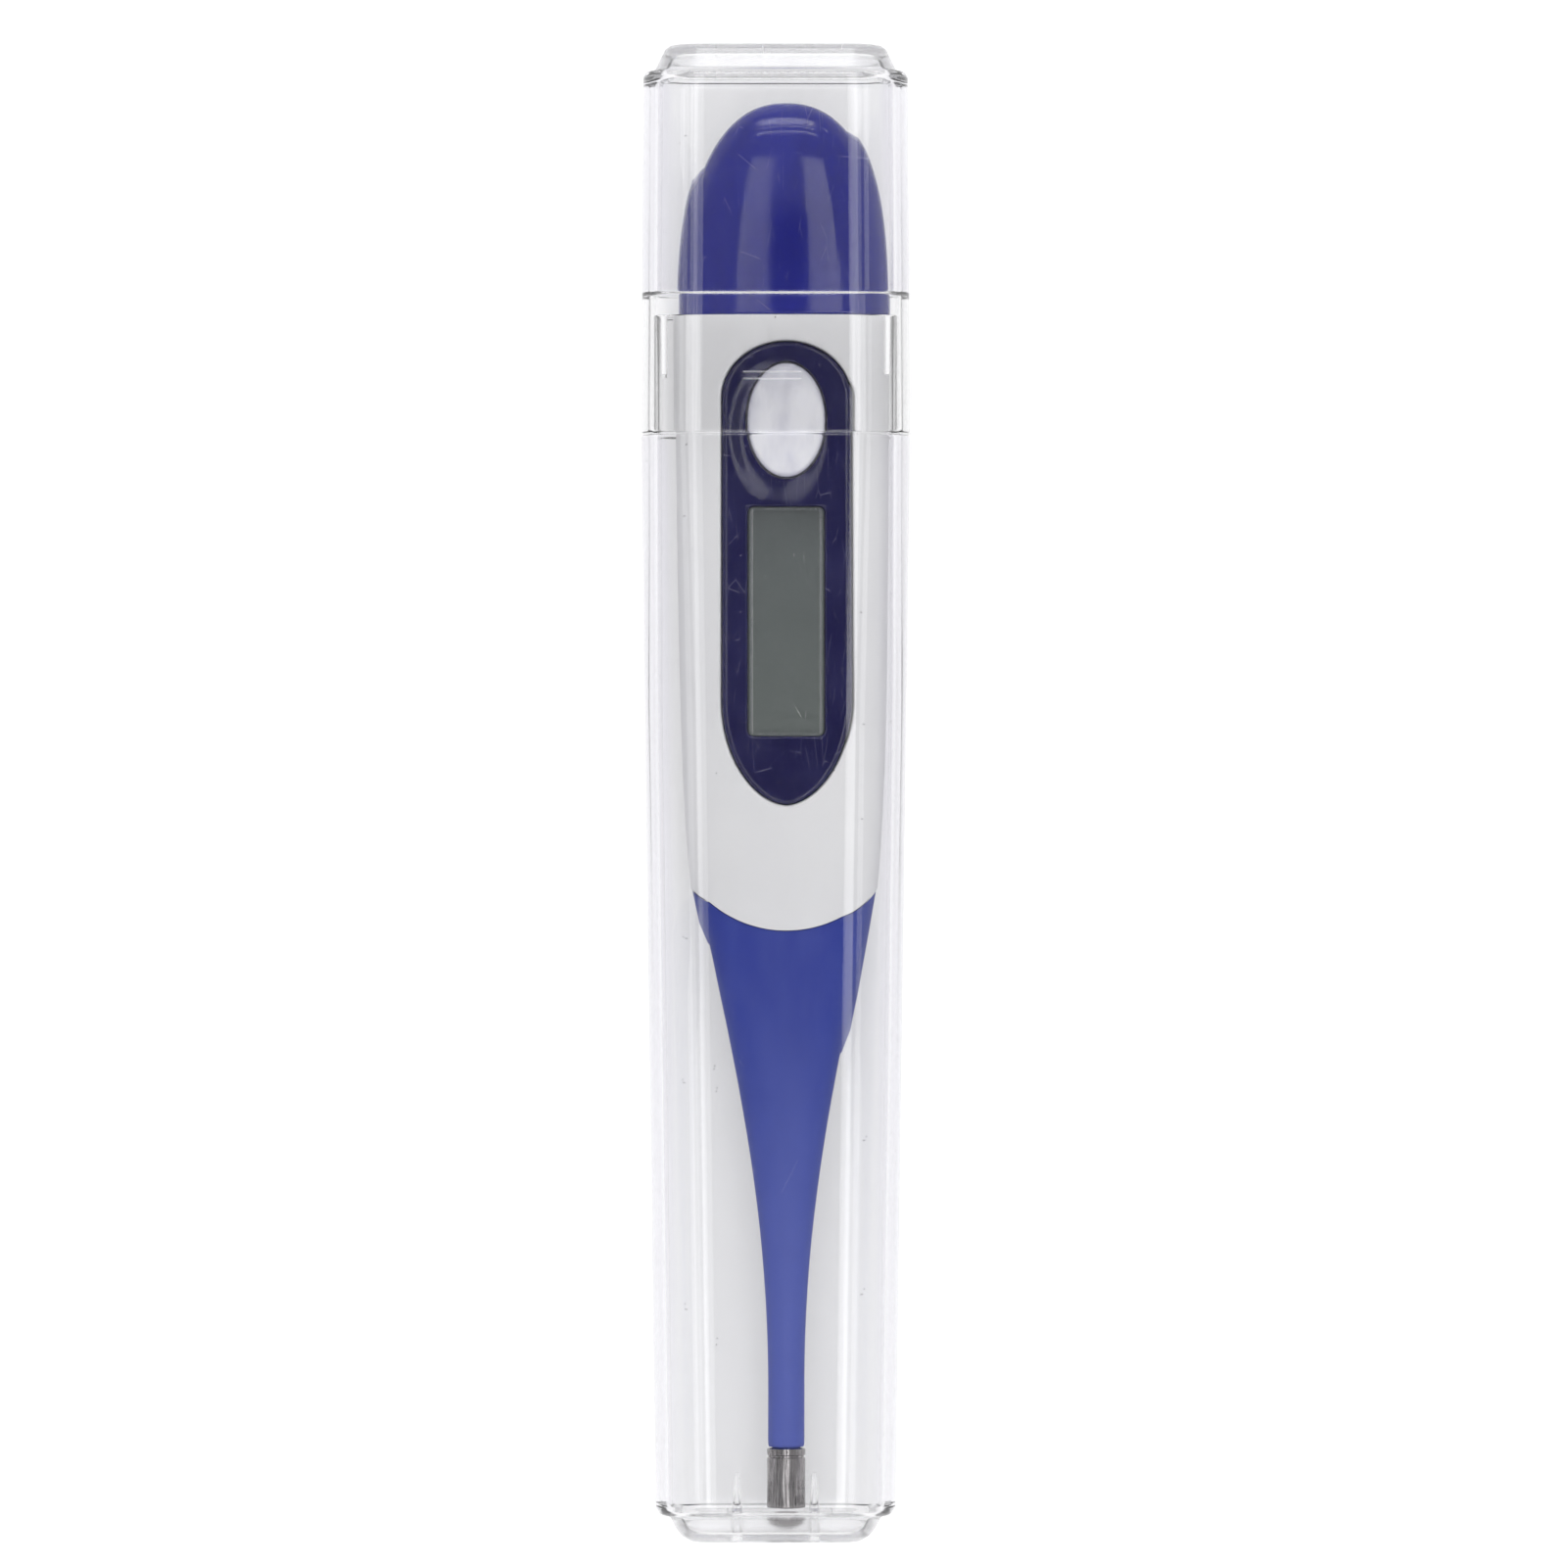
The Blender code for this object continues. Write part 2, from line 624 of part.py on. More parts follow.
# ---------------------------------------------------------------- inside of the thermometer
def build_chassis():
    """The carrier: a plug in the housing's mouth, a spigot for the cover, a tongue and two rails."""
    x, z = AXIS
    inset = HOUSING_WALL + FIT_GAP
    plug, spigot = [], []
    for y in (39.1, COVER_EDGE - 0.1):
        plug.append(superellipse(HOUSING_HALF_WIDTH - inset, HOUSING_HALF_DEPTH - inset, BODY_POWER, y))
    seat = (COVER_HALF_WIDTH - inset, COVER_HALF_DEPTH - inset)
    for y, shrink in ((40.0, 0.0), (43.5, 0.0), (43.51, 0.6), (44.6, 0.6), (44.61, 0.0), (46.0, 0.15)):
        spigot.append(superellipse(seat[0] - shrink, seat[1] - shrink, BODY_POWER, y))
    chassis = loft("inner_chassis", plug, WHITE, AXIS)
    join(chassis, loft("spigot", spigot, at=AXIS))

    tongue = []
    for half_width, end in ((5.4, 1), (5.4, -1)):
        for step in range(6):
            angle = math.radians(90 * step / 5 if end > 0 else 90 + 90 * step / 5)
            tongue.append(
                (x + end * (half_width - 3.5) + 3.5 * math.cos(angle), 52.5 + 3.5 * math.sin(angle))
            )
    tongue += [(x - 5.4, 45.6), (x + 5.4, 45.6)]
    join(chassis, prism("tongue", tongue, z - 2.6, z + 1.7))
    for side in (-1, 1):
        edges = sorted((side * 3.4, side * 5.0))
        rail = box(f"rail_{side}", (x + edges[0], BOARD_END, z - 2.7), (x + edges[1], 40.0, z - SMALL_GAP))
        join(chassis, rail)
    join(chassis, box("cross_bar", (x - 4.0, BOARD_END, z - 2.7), (x + 4.0, -0.4, z - SMALL_GAP)))

    pocket = cylinder("cell_pocket", (x, BATTERY_Y, z + 2.9), BATTERY_DIAMETER / 2 + FIT_GAP, 10.0)
    cut(chassis, pocket)
    tunnel = box("contact_tunnel", (x - 3.2, 38.0, z - 0.5), (x + 3.2, 48.0, z + 1.4))
    rise = box("positive_slot", (x + 0.3, 46.05, z + 1.0), (x + 3.1, 48.0, z + 3.0))
    drop = box("negative_slot", (x - 1.4, 45.7, z - 2.1), (x + 0.6, 48.0, z))
    cut(chassis, pocket, tunnel, rise, drop)
    return chassis


def build_board():
    x, z = AXIS
    pieces = [box("circuit_board", (x - 5.6, BOARD_END, z), (x + 5.6, 38.8, z + 0.8), BOARD_GREEN)]
    top = z + 0.8 + 0.1
    blob = [(0.0, 0.75), (1.0, 0.68), (1.8, 0.45), (2.3, 0.1), (2.3, 0.0), (0.0, 0.0)]
    pieces.append(turned("controller_blob", blob, BLACK, (x, 1.0, top), upright=True))
    chips = (
        ("reference_resistor", -3.4, 28.8, BLACK),
        ("tuning_capacitor", 0.4, 27.0, TAN),
        ("supply_capacitor", 3.8, 28.8, TAN),
    )
    for name, across, y, finish in chips:
        low = (x + across - 0.8, y - 0.4, top)
        pieces.append(box(name, low, (x + across + 0.8, y + 0.4, top + 0.5), finish, bevel=0.08))
    return pieces


def build_switch_dome():
    """A snap dome of thin sheet metal, open below."""
    x, z = AXIS
    rise, radius, sheet = 0.5, 2.3, 0.12
    base = z + 0.9
    profile = []
    for step in range(5):
        r = radius * step / 4
        profile.append((r, rise * (1 - (r / radius) ** 2) + sheet))
    for step in range(4, -1, -1):
        r = radius * step / 4
        profile.append((r, rise * (1 - (r / radius) ** 2)))
    return turned("switch_dome", profile, STEEL, (x, BUTTON_Y, base), upright=True)


def build_display():
    x, z = AXIS
    low, high = WINDOW_Y - 11.0, WINDOW_Y + 11.0
    pieces = [box("lcd_panel", (x - 4.3, low, z + 2.3), (x + 4.3, high, z + 3.2), LCD_GREY, bevel=0.1)]
    film = box("lcd_reflector", (x - 2.9, low + 1, z + 1.95), (x + 2.9, high - 1, z + 2.15), FILM)
    pieces.append(film)
    for name, side in (("zebra_strip_left", -1), ("zebra_strip_right", 1)):
        edges = sorted((side * 3.15, side * 4.15))
        strip = box(name, (x + edges[0], low + 1, z + 0.95), (x + edges[1], high - 1, z + 2.15), ELASTOMER)
        pieces.append(strip)
    return pieces


def build_buzzer():
    x, z = AXIS
    plate = cylinder("buzzer_plate", (x, 30.5, z - 3.3), 4.0, 0.2, finish=BRASS)
    disc = cylinder("buzzer_ceramic", (x, 30.5, z - 3.0), 2.9, 0.15, finish=CERAMIC)
    return [plate, disc]


def build_battery():
    """The LR41 cell: a wide positive can with a narrower negative cap facing down."""
    x, z = AXIS
    radius, height = BATTERY_DIAMETER / 2, BATTERY_HEIGHT
    profile = [(0.0, height), (radius - 0.25, height), (radius, height - 0.25)]
    profile += [(radius, 0.75), (radius - 0.3, 0.45), (3.2, 0.45), (3.1, 0.0), (0.0, 0.0)]
    return turned("battery_cell", profile, STEEL, (x, BATTERY_Y, z - 1.5), segments=32, upright=True)


def strip(name, path, thickness, left, right):
    """A sheet-metal strip along a path of (y, z), between x left and right, in mm."""
    bm = bmesh.new()
    rows = []
    for y, z in path:
        pair = [bm.verts.new((mm(AXIS[0] + x), mm(y), mm(AXIS[1] + z))) for x in (left, right)]
        rows.append(pair)
    for here, after in zip(rows, rows[1:]):
        bm.faces.new((here[0], here[1], after[1], after[0]))
    obj = add(name, bm, STEEL)
    sheet = obj.modifiers.new("sheet", "SOLIDIFY")
    sheet.thickness = mm(thickness)
    sheet.offset = 0.0
    return obj


def build_battery_contacts():
    """The positive strip bears on the can's top, and the negative spring on its cap below."""
    top = -1.5 + BATTERY_HEIGHT + SMALL_GAP + 0.05
    positive = [(38.4, 1.05), (46.2, 1.05), (46.7, top), (51.5, top)]
    negative = [(39.1, 0.0), (46.0, 0.0), (46.3, -1.72), (51.0, -1.72)]
    return [
        strip("battery_contact_positive", positive, 0.15, 0.6, 2.8),
        strip("battery_contact_negative", negative, 0.15, -1.1, 0.3),
    ]


def build_cover_seal():
    """A flat rubber ring in the spigot's groove."""
    seat = (COVER_HALF_WIDTH - HOUSING_WALL, COVER_HALF_DEPTH - HOUSING_WALL)
    outer, inner = [], []
    for y in (43.6, 44.5):
        outer.append(superellipse(seat[0] - 0.12, seat[1] - 0.12, BODY_POWER, y))
    for y in (43.0, 45.0):
        inner.append(superellipse(seat[0] - 0.7, seat[1] - 0.7, BODY_POWER, y))
    seal = loft("cover_seal", outer, SEAL_RUBBER, AXIS)
    cut(seal, loft("seal_hole", inner, at=AXIS))
    return seal


def build_sensor():
    x, z = AXIS
    bead_y = -64.0
    bead = [(0.0, 0.55), (0.3, 0.48), (0.5, 0.2), (0.5, -0.2), (0.3, -0.48), (0.0, -0.55)]
    thermistor = turned("thermistor", bead, BLACK, (x, bead_y, z), segments=16)
    potting = cylinder("tip_epoxy", (x, -62.3, z), 1.3, 1.3, "Y", 24, POTTING)
    for side in (-1, 1):
        hole = (x + side * 0.4, -62.3, z)
        cut(potting, cylinder(f"lead_hole_{side}", hole, 0.25, 3.0, "Y", 12))
    return [thermistor, potting]


def lead_wire(name, side):
    """A wire from the board's edge through the stem's bore to the sensor bead."""
    x, z = AXIS
    route = ((1.8, -2.7, 0.4), (1.7, -5.0, 0.3), (0.9, -11.0, 0.05), (0.4, -17.0, 0.0), (0.4, -63.3, 0.0))
    curve = bpy.data.curves.new(name, "CURVE")
    curve.dimensions = "3D"
    curve.bevel_depth = mm(0.15)
    curve.bevel_resolution = 2
    curve.use_fill_caps = True
    line = curve.splines.new("POLY")
    line.points.add(len(route) - 1)
    for point, (across, y, up) in zip(line.points, route):
        point.co = (mm(x + side * across), mm(y), mm(z + up), 1.0)
    curve.materials.append(WIRE_RED)
    obj = bpy.data.objects.new(name, curve)
    PARTS.objects.link(obj)
    return obj


# ---------------------------------------------------------------- assembly
def anchor(name, location):
    """An empty on a joint's axis, which the moving pieces are parented to."""
    empty = bpy.data.objects.new(name, None)
    empty.location = [mm(value) for value in location]
    PARTS.objects.link(empty)
    return empty


def attach(empty, *pieces):
    for piece in pieces:
        piece.parent = empty
        piece.matrix_parent_inverse = Matrix.Translation(-Vector(empty.location))


def build():
    x, z = AXIS
    build_case_body()
    cap = build_case_cap()
    fixed = [build_housing(), build_front_bezel(), build_display_lens(), build_flexible_tip()]
    fixed += [build_chassis(), build_switch_dome(), build_battery(), build_cover_seal()]
    fixed += build_board() + build_display() + build_buzzer() + build_battery_contacts()
    fixed += [lead_wire("lead_wire_left", -1), lead_wire("lead_wire_right", 1)]
    cover = build_battery_cover()
    button = build_power_button()
    probe = [build_metal_tip()] + build_sensor()

    slide = anchor("thermometer_slide_axis", (x, 0, z))
    attach(slide, *fixed)
    attach(anchor("battery_cover_axis", (x, COVER_EDGE, z)), cover)
    attach(anchor("case_cap_axis", (0, SEAM, CASE_DEPTH / 2)), cap)
    attach(anchor("power_button_axis", (x, BUTTON_Y, z)), button)
    attach(anchor("tip_bend_axis", (x, PIVOT_Y, z)), *probe)


build()
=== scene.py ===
"""The looks of a pocket digital thermometer in its clear storage case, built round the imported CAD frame.

Sizes are in millimetres on the frame's axes: X across the case, Y along it to the cap, Z up from the floor.
"""
import math

import bmesh
import bpy
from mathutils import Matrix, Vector


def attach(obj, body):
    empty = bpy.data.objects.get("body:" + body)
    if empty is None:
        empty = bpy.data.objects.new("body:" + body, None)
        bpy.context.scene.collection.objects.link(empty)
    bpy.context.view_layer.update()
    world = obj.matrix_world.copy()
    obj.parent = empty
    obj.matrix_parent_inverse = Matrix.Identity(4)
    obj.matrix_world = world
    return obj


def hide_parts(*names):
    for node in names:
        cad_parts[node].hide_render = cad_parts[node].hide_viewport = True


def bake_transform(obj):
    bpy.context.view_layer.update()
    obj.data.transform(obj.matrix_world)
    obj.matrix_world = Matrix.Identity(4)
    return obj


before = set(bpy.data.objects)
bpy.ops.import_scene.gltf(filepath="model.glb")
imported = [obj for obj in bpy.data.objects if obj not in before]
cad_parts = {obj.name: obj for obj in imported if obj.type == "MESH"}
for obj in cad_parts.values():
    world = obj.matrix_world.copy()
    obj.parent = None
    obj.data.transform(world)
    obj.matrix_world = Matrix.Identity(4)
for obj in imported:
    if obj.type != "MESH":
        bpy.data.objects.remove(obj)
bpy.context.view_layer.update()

MM = 0.001
AXIS = (0.95, 7.0)  # the thermometer's own axis in the case, (x, z) in mm

# The clear case: half its length, the seam of body and cap, the shoulder before each end, the corners
# of its section, and the neck with which the body reaches up inside the cap's thinner skirt.
HALF_LENGTH = 66.7
SEAM = 32.1
SHOULDER = 64.3
CORNER = 5.4
BODY_HALF, BODY_DEPTH = (12.0, 10.7), (15.0, 13.8)  # half width and depth, at the seam and the shoulder
CAP_HALF, CAP_DEPTH = (12.0, 11.8), (15.0, 14.8)
NECK_FOOT, NECK_TOP, SKIRT_TOP = 31.9, 42.5, 44.5

# The thermometer's skin: (y, half width, half depth) of the curves down its housing and stem, the
# housing's round end as the front view shows it, and how square their sections are.
HOUSING = ((42.6, 9.53, 5.0), (20.0, 9.3, 5.0), (3.0, 9.5, 4.9), (-8.4, 8.05, 4.2))
STEM = ((-8.4, 7.95, 4.15), (-24.0, 4.6, 3.1), (-36.0, 1.75, 1.75), (-52.0, 1.62, 1.62))
ARC_Y, ARC_R = -1.7, 10.5
POWER = 2.8
HOUSING_WALL = 1.2
COVER_EDGE, COVER_LENGTH = 42.6, 19.0

# The front panel: its straight sides run from BEZEL_TOP_Y to BEZEL_FOOT_Y, with a round end beyond each.
BEZEL_HALF_WIDTH = 5.72
BEZEL_TOP_Y, BEZEL_TOP_RISE = 35.2, 5.0
BEZEL_FOOT_Y, BEZEL_FOOT_DROP = 8.2, 9.2
PANEL = 4.7  # what its levels are measured from, over the thermometer's axis; its flat face is 0.1 lower
WINDOW_Y, WINDOW_SIZE = 15.3, (6.6, 20.2)
GLASS_SIZE = (8.6, 22.0)
KEY_Y, KEY_HALF = 33.2, (3.45, 5.05)


def lerp(a, b, t):
    return a + (b - a) * t


# ------------------------------------------------------------------ mesh helpers
def finished(name, bm, look, angle=32.0):
    bmesh.ops.recalc_face_normals(bm, faces=bm.faces[:])
    mesh = bpy.data.meshes.new(name)
    bm.to_mesh(mesh)
    bm.free()
    obj = bpy.data.objects.new(name, mesh)
    bpy.context.scene.collection.objects.link(obj)
    if look is not None:
        mesh.materials.append(look)
    mesh.shade_smooth()
    mesh.set_sharp_from_angle(angle=math.radians(angle))
    return obj


def placed(bm, rings, at):
    """The vertices of rings of (x, y, z) in mm, moved by at (x, z)."""
    return [[bm.verts.new(((x + at[0]) * MM, y * MM, (z + at[1]) * MM)) for x, y, z in r] for r in rings]


def bridge(bm, loops):
    """Quads between each loop of vertices and the next one."""
    for low, high in zip(loops, loops[1:]):
        for i in range(len(low)):
            j = (i + 1) % len(low)
            bm.faces.new((low[i], low[j], high[j], high[i]))


def skin(name, rings, look=None, at=(0.0, 0.0), angle=32.0, weld=0.0):
    """A closed skin over rings of (x, y, z) in mm, moved by at (x, z)."""
    bm = bmesh.new()
    loops = placed(bm, rings, at)
    bridge(bm, loops)
    if weld:
        bmesh.ops.remove_doubles(bm, verts=bm.verts[:], dist=weld * MM)
        edges = [e for e in bm.edges if e.is_boundary]
        if edges:
            bmesh.ops.holes_fill(bm, edges=edges, sides=0)
    else:
        bm.faces.new(loops[0])
        bm.faces.new(loops[-1])
    return finished(name, bm, look, angle)


def baked(obj):
    """Applies the object's modifiers to its mesh."""
    graph = bpy.context.evaluated_depsgraph_get()
    mesh = bpy.data.meshes.new_from_object(obj.evaluated_get(graph))
    obj.modifiers.clear()
    old = obj.data
    obj.data = mesh
    bpy.data.meshes.remove(old)


def combine(obj, operation, *tools, angle=32.0):
    """Cuts, joins or crops the object's mesh with the tools, which are used up."""
    for tool in tools:
        modifier = obj.modifiers.new("boolean", "BOOLEAN")
        modifier.operation = operation
        modifier.solver = "EXACT"
        modifier.object = tool
    bpy.context.view_layer.update()
    baked(obj)
    for tool in tools:
        bpy.data.objects.remove(tool)
    obj.data.shade_smooth()
    obj.data.set_sharp_from_angle(angle=math.radians(angle))
    return obj


def rounded(profile, radius, steps=4):
    """A polyline with its inner corners rounded off by radius, or by a point's own third number."""
    points = [Vector(p[:2]) for p in profile]
    wanted = [p[2] if len(p) > 2 else radius for p in profile]
    out = [points[0]]
    for before, here, after, size in zip(points, points[1:], points[2:], wanted[1:]):
        back, ahead = before - here, after - here
        reach = min(size, back.length * 0.45, ahead.length * 0.45)
        start, end = here + back.normalized() * reach, here + ahead.normalized() * reach
        if back.length > 1.0:
            out.append(start + back.normalized() * 0.12)
        for k in range(steps + 1):
            t = k / steps
            out.append(start * (1 - t) ** 2 + here * 2 * t * (1 - t) + end * t * t)
        if ahead.length > 1.0:
            out.append(end + ahead.normalized() * 0.12)
    out.append(points[-1])
    return [tuple(p) for p in out]


def superellipse(half_width, half_depth, power, y, quarter=28, samples=160):
    """A ring in the XZ plane with its points evenly spaced along each quarter."""
    dense = []
    for i in range(samples + 1):
        a = math.pi / 2 * i / samples
        dense.append((half_width * math.cos(a) ** (2 / power), half_depth * math.sin(a) ** (2 / power)))
    run = [0.0]
    for p, q in zip(dense, dense[1:]):
        run.append(run[-1] + math.dist(p, q))
    even, k = [], 0
    for i in range(quarter + 1):
        goal = run[-1] * i / quarter
        while k < samples - 1 and run[k + 1] < goal:
            k += 1
        t = (goal - run[k]) / (run[k + 1] - run[k] or 1.0)
        even.append((lerp(dense[k][0], dense[k + 1][0], t), lerp(dense[k][1], dense[k + 1][1], t)))
    ring = [(x, y, z) for x, z in even[:-1]]
    ring += [(-x, y, z) for x, z in even[:0:-1]]
    ring += [(-x, y, -z) for x, z in even[:-1]]
    ring += [(x, y, -z) for x, z in even[:0:-1]]
    return ring


def rounded_box(half_width, low, high, radius, y, steps=12):
    """A rounded rectangle in the XZ plane, from the height low to the height high."""
    ring = []
    corners = (
        (half_width - radius, high - radius, 0),
        (radius - half_width, high - radius, 90),
        (radius - half_width, low + radius, 180),
        (half_width - radius, low + radius, 270),
    )
    for x, z, start in corners:
        for step in range(steps + 1):
            a = math.radians(start + 90 * step / steps)
            ring.append((x + radius * math.cos(a), y, z + radius * math.sin(a)))
    return supported(ring, 0.12)


def supported(ring, near):
    """The closed ring with extra points close to both ends of its long straight stretches."""
    out = []
    for p, q in zip(ring, ring[1:] + ring[:1]):
        out.append(p)
        length = math.dist(p, q)
        if length > 1.2:
            for t in (near / length, 0.5, 1 - near / length):
                out.append(tuple(lerp(a, b, t) for a, b in zip(p, q)))
    return out


def bezier(points, t):
    """The point at t on a cubic curve with four control points of any length."""
    w = ((1 - t) ** 3, 3 * t * (1 - t) ** 2, 3 * t * t * (1 - t), t ** 3)
    return [sum(a * p[k] for a, p in zip(w, points)) for k in range(len(points[0]))]


def circle(radius, count):
    turns = [2 * math.pi * k / count for k in range(count)]
    return [(radius * math.cos(a), radius * math.sin(a)) for a in turns]


def box_outline(cx, cy, wide, tall, radius, grow, steps=8):
    """A rounded rectangle about (cx, cy) in the front view, grown by grow all round."""
    half_w, half_t = wide / 2 + grow, tall / 2 + grow
    r = max(radius + grow, 0.03)
    points = []
    for sx, sy, start in ((1, 1, 0), (-1, 1, 90), (-1, -1, 180), (1, -1, 270)):
        for step in range(steps + 1):
            a = math.radians(start + 90 * step / steps)
            x = cx + sx * (half_w - r) + r * math.cos(a)
            points.append((x, cy + sy * (half_t - r) + r * math.sin(a)))
    return points


def stack(name, outline, levels, look, angle=32.0, lift=None):
    """Front-view outlines laid over each other: levels are (z, grow), where z is counted from any lift."""
    rings = []
    for level, grow in levels:
        rings.append([(x, y, level + (lift(x, y) if lift else 0.0)) for x, y in outline(grow)])
    return skin(name, rings, look, AXIS, angle)


# ------------------------------------------------------------------ camera
def build_camera():
    """A long lens straight above the object, a little off its middle."""
    data = bpy.data.cameras.new("camera")
    data.sensor_width = 36.0
    data.lens = 282.8
    camera = bpy.data.objects.new("camera", data)
    camera.location = (0.00075, 0.00083, 1.107)
    bpy.context.scene.collection.objects.link(camera)
    bpy.context.scene.camera = camera


build_camera()


# ------------------------------------------------------------------ material helpers
def set_range(node, *numbers):
    for key, number in zip(("From Min", "From Max", "To Min", "To Max"), numbers):
        node.inputs[key].default_value = number


class Look:
    """A Principled material with object-space mm coordinates and a few node shorthands."""

    def __init__(self, name, colour, roughness, **fixed):
        self.material = bpy.data.materials.new(name)
        self.material.use_nodes = True
        self.tree = self.material.node_tree
        self.shader = self.tree.nodes["Principled BSDF"]
        self.output = self.tree.nodes["Material Output"]
        self.shader.inputs["Base Color"].default_value = (*colour, 1.0)
        self.shader.inputs["Roughness"].default_value = roughness
        for key, value in fixed.items():
            self.shader.inputs[key.replace("_", " ")].default_value = value
        where = self.node("ShaderNodeTexCoord")
        self.place = where.outputs["Object"]

    def node(self, kind, **settings):
        made = self.tree.nodes.new(kind)
        for key, value in settings.items():
            setattr(made, key, value)
        return made

    def link(self, source, target):
        """Joins a socket to target, or sets target to a plain number or colour."""
        if isinstance(source, (int, float)):
            target.default_value = source
        elif isinstance(source, tuple):
            target.default_value = source if len(source) == 4 else (*source, 1.0)
        else:
            self.tree.links.new(source, target)

    def mm(self, stretch=(1.0, 1.0, 1.0), turn=0.0, shift=(0.0, 0.0, 0.0)):
        """The place on the object in mm, stretched, turned about Z and shifted for a texture."""
        mapping = self.node("ShaderNodeMapping")
        mapping.inputs["Scale"].default_value = [1000.0 * s for s in stretch]
        mapping.inputs["Rotation"].default_value = (0.0, 0.0, turn)
        mapping.inputs["Location"].default_value = shift
        self.link(self.place, mapping.inputs["Vector"])
        return mapping.outputs["Vector"]

    def noise(self, vector, scale, detail=3.0, rough=0.55, distortion=0.0):
        made = self.node("ShaderNodeTexNoise")
        made.inputs["Scale"].default_value = scale
        made.inputs["Detail"].default_value = detail
        made.inputs["Roughness"].default_value = rough
        made.inputs["Distortion"].default_value = distortion
        self.link(vector, made.inputs["Vector"])
        return made.outputs["Fac"]

    def ranged(self, value, low, high, out_low=0.0, out_high=1.0, smooth=False):
        made = self.node("ShaderNodeMapRange")
        made.interpolation_type = "SMOOTHSTEP" if smooth else "LINEAR"
        set_range(made, low, high, out_low, out_high)
        self.link(value, made.inputs["Value"])
        return made.outputs["Result"]

    def math(self, operation, a, b=0.0):
        made = self.node("ShaderNodeMath", operation=operation)
        self.link(a, made.inputs[0])
        self.link(b, made.inputs[1])
        return made.outputs[0]

    def mix(self, factor, a, b):
        made = self.node("ShaderNodeMix", data_type="RGBA")
        self.link(factor, made.inputs["Factor"])
        self.link(a, made.inputs[6])
        self.link(b, made.inputs[7])
        return made.outputs[2]

    def axis(self, name):
        split = self.node("ShaderNodeSeparateXYZ")
        self.link(self.mm(), split.inputs[0])
        return split.outputs[name]

    def away(self, name, centre):
        """How many mm a place lies to either side of a plane across an axis."""
        return self.math("ABSOLUTE", self.math("SUBTRACT", self.axis(name), centre))

    def specks(self, spacing, size, share, shift=0.0):
        """1 on small round specks scattered over the surface, 0 elsewhere."""
        cells = self.node("ShaderNodeTexVoronoi", voronoi_dimensions="2D")
        cells.inputs["Scale"].default_value = 1.0 / spacing
        self.link(self.mm(shift=(shift, shift * 1.7, shift * 0.3)), cells.inputs["Vector"])
        hue = self.node("ShaderNodeSeparateColor")
        self.link(cells.outputs["Color"], hue.inputs[0])
        chosen = self.math("GREATER_THAN", hue.outputs[0], 1.0 - share)
        dot = self.ranged(cells.outputs["Distance"], size / spacing, size / spacing * 0.5)
        return self.math("MULTIPLY", chosen, dot)

    def scratches(self, turn, length, spacing, width, patchy=0.55, shift=0.0):
        """1 along long fine scratches at an angle, 0 elsewhere."""
        cells = self.node("ShaderNodeTexVoronoi", voronoi_dimensions="2D", feature="DISTANCE_TO_EDGE")
        cells.inputs["Scale"].default_value = 1.0
        stretch = (1.0 / spacing, 1.0 / length, 1.0 / length)
        self.link(self.mm(stretch, turn, (shift, shift, shift)), cells.inputs["Vector"])
        line = self.ranged(cells.outputs["Distance"], width / spacing, width / spacing * 0.3)
        patches = self.noise(self.mm(shift=(shift * 3, 0, 0)), 0.35, 2.0)
        return self.math("MULTIPLY", line, self.ranged(patches, patchy, patchy + 0.05))

    def bump(self, height, strength, distance=0.02, normal=None):
        made = self.node("ShaderNodeBump")
        made.inputs["Strength"].default_value = strength
        made.inputs["Distance"].default_value = distance * MM
        self.link(height, made.inputs["Height"])
        if normal is not None:
            self.link(normal, made.inputs["Normal"])
        return made.outputs["Normal"]

    def set(self, socket, value):
        self.link(value, self.shader.inputs[socket])

    def lets_lamps_through(self, tint=(0.93, 0.93, 0.935, 1.0)):
        """Shadow rays pass with only a tint, so that lamps light what the clear plastic covers."""
        path = self.node("ShaderNodeLightPath")
        clear = self.node("ShaderNodeBsdfTransparent")
        clear.inputs["Color"].default_value = tint
        either = self.node("ShaderNodeMixShader")
        self.tree.links.new(path.outputs["Is Shadow Ray"], either.inputs[0])
        self.tree.links.new(self.shader.outputs[0], either.inputs[1])
        self.tree.links.new(clear.outputs[0], either.inputs[2])
        self.tree.links.new(either.outputs[0], self.output.inputs["Surface"])


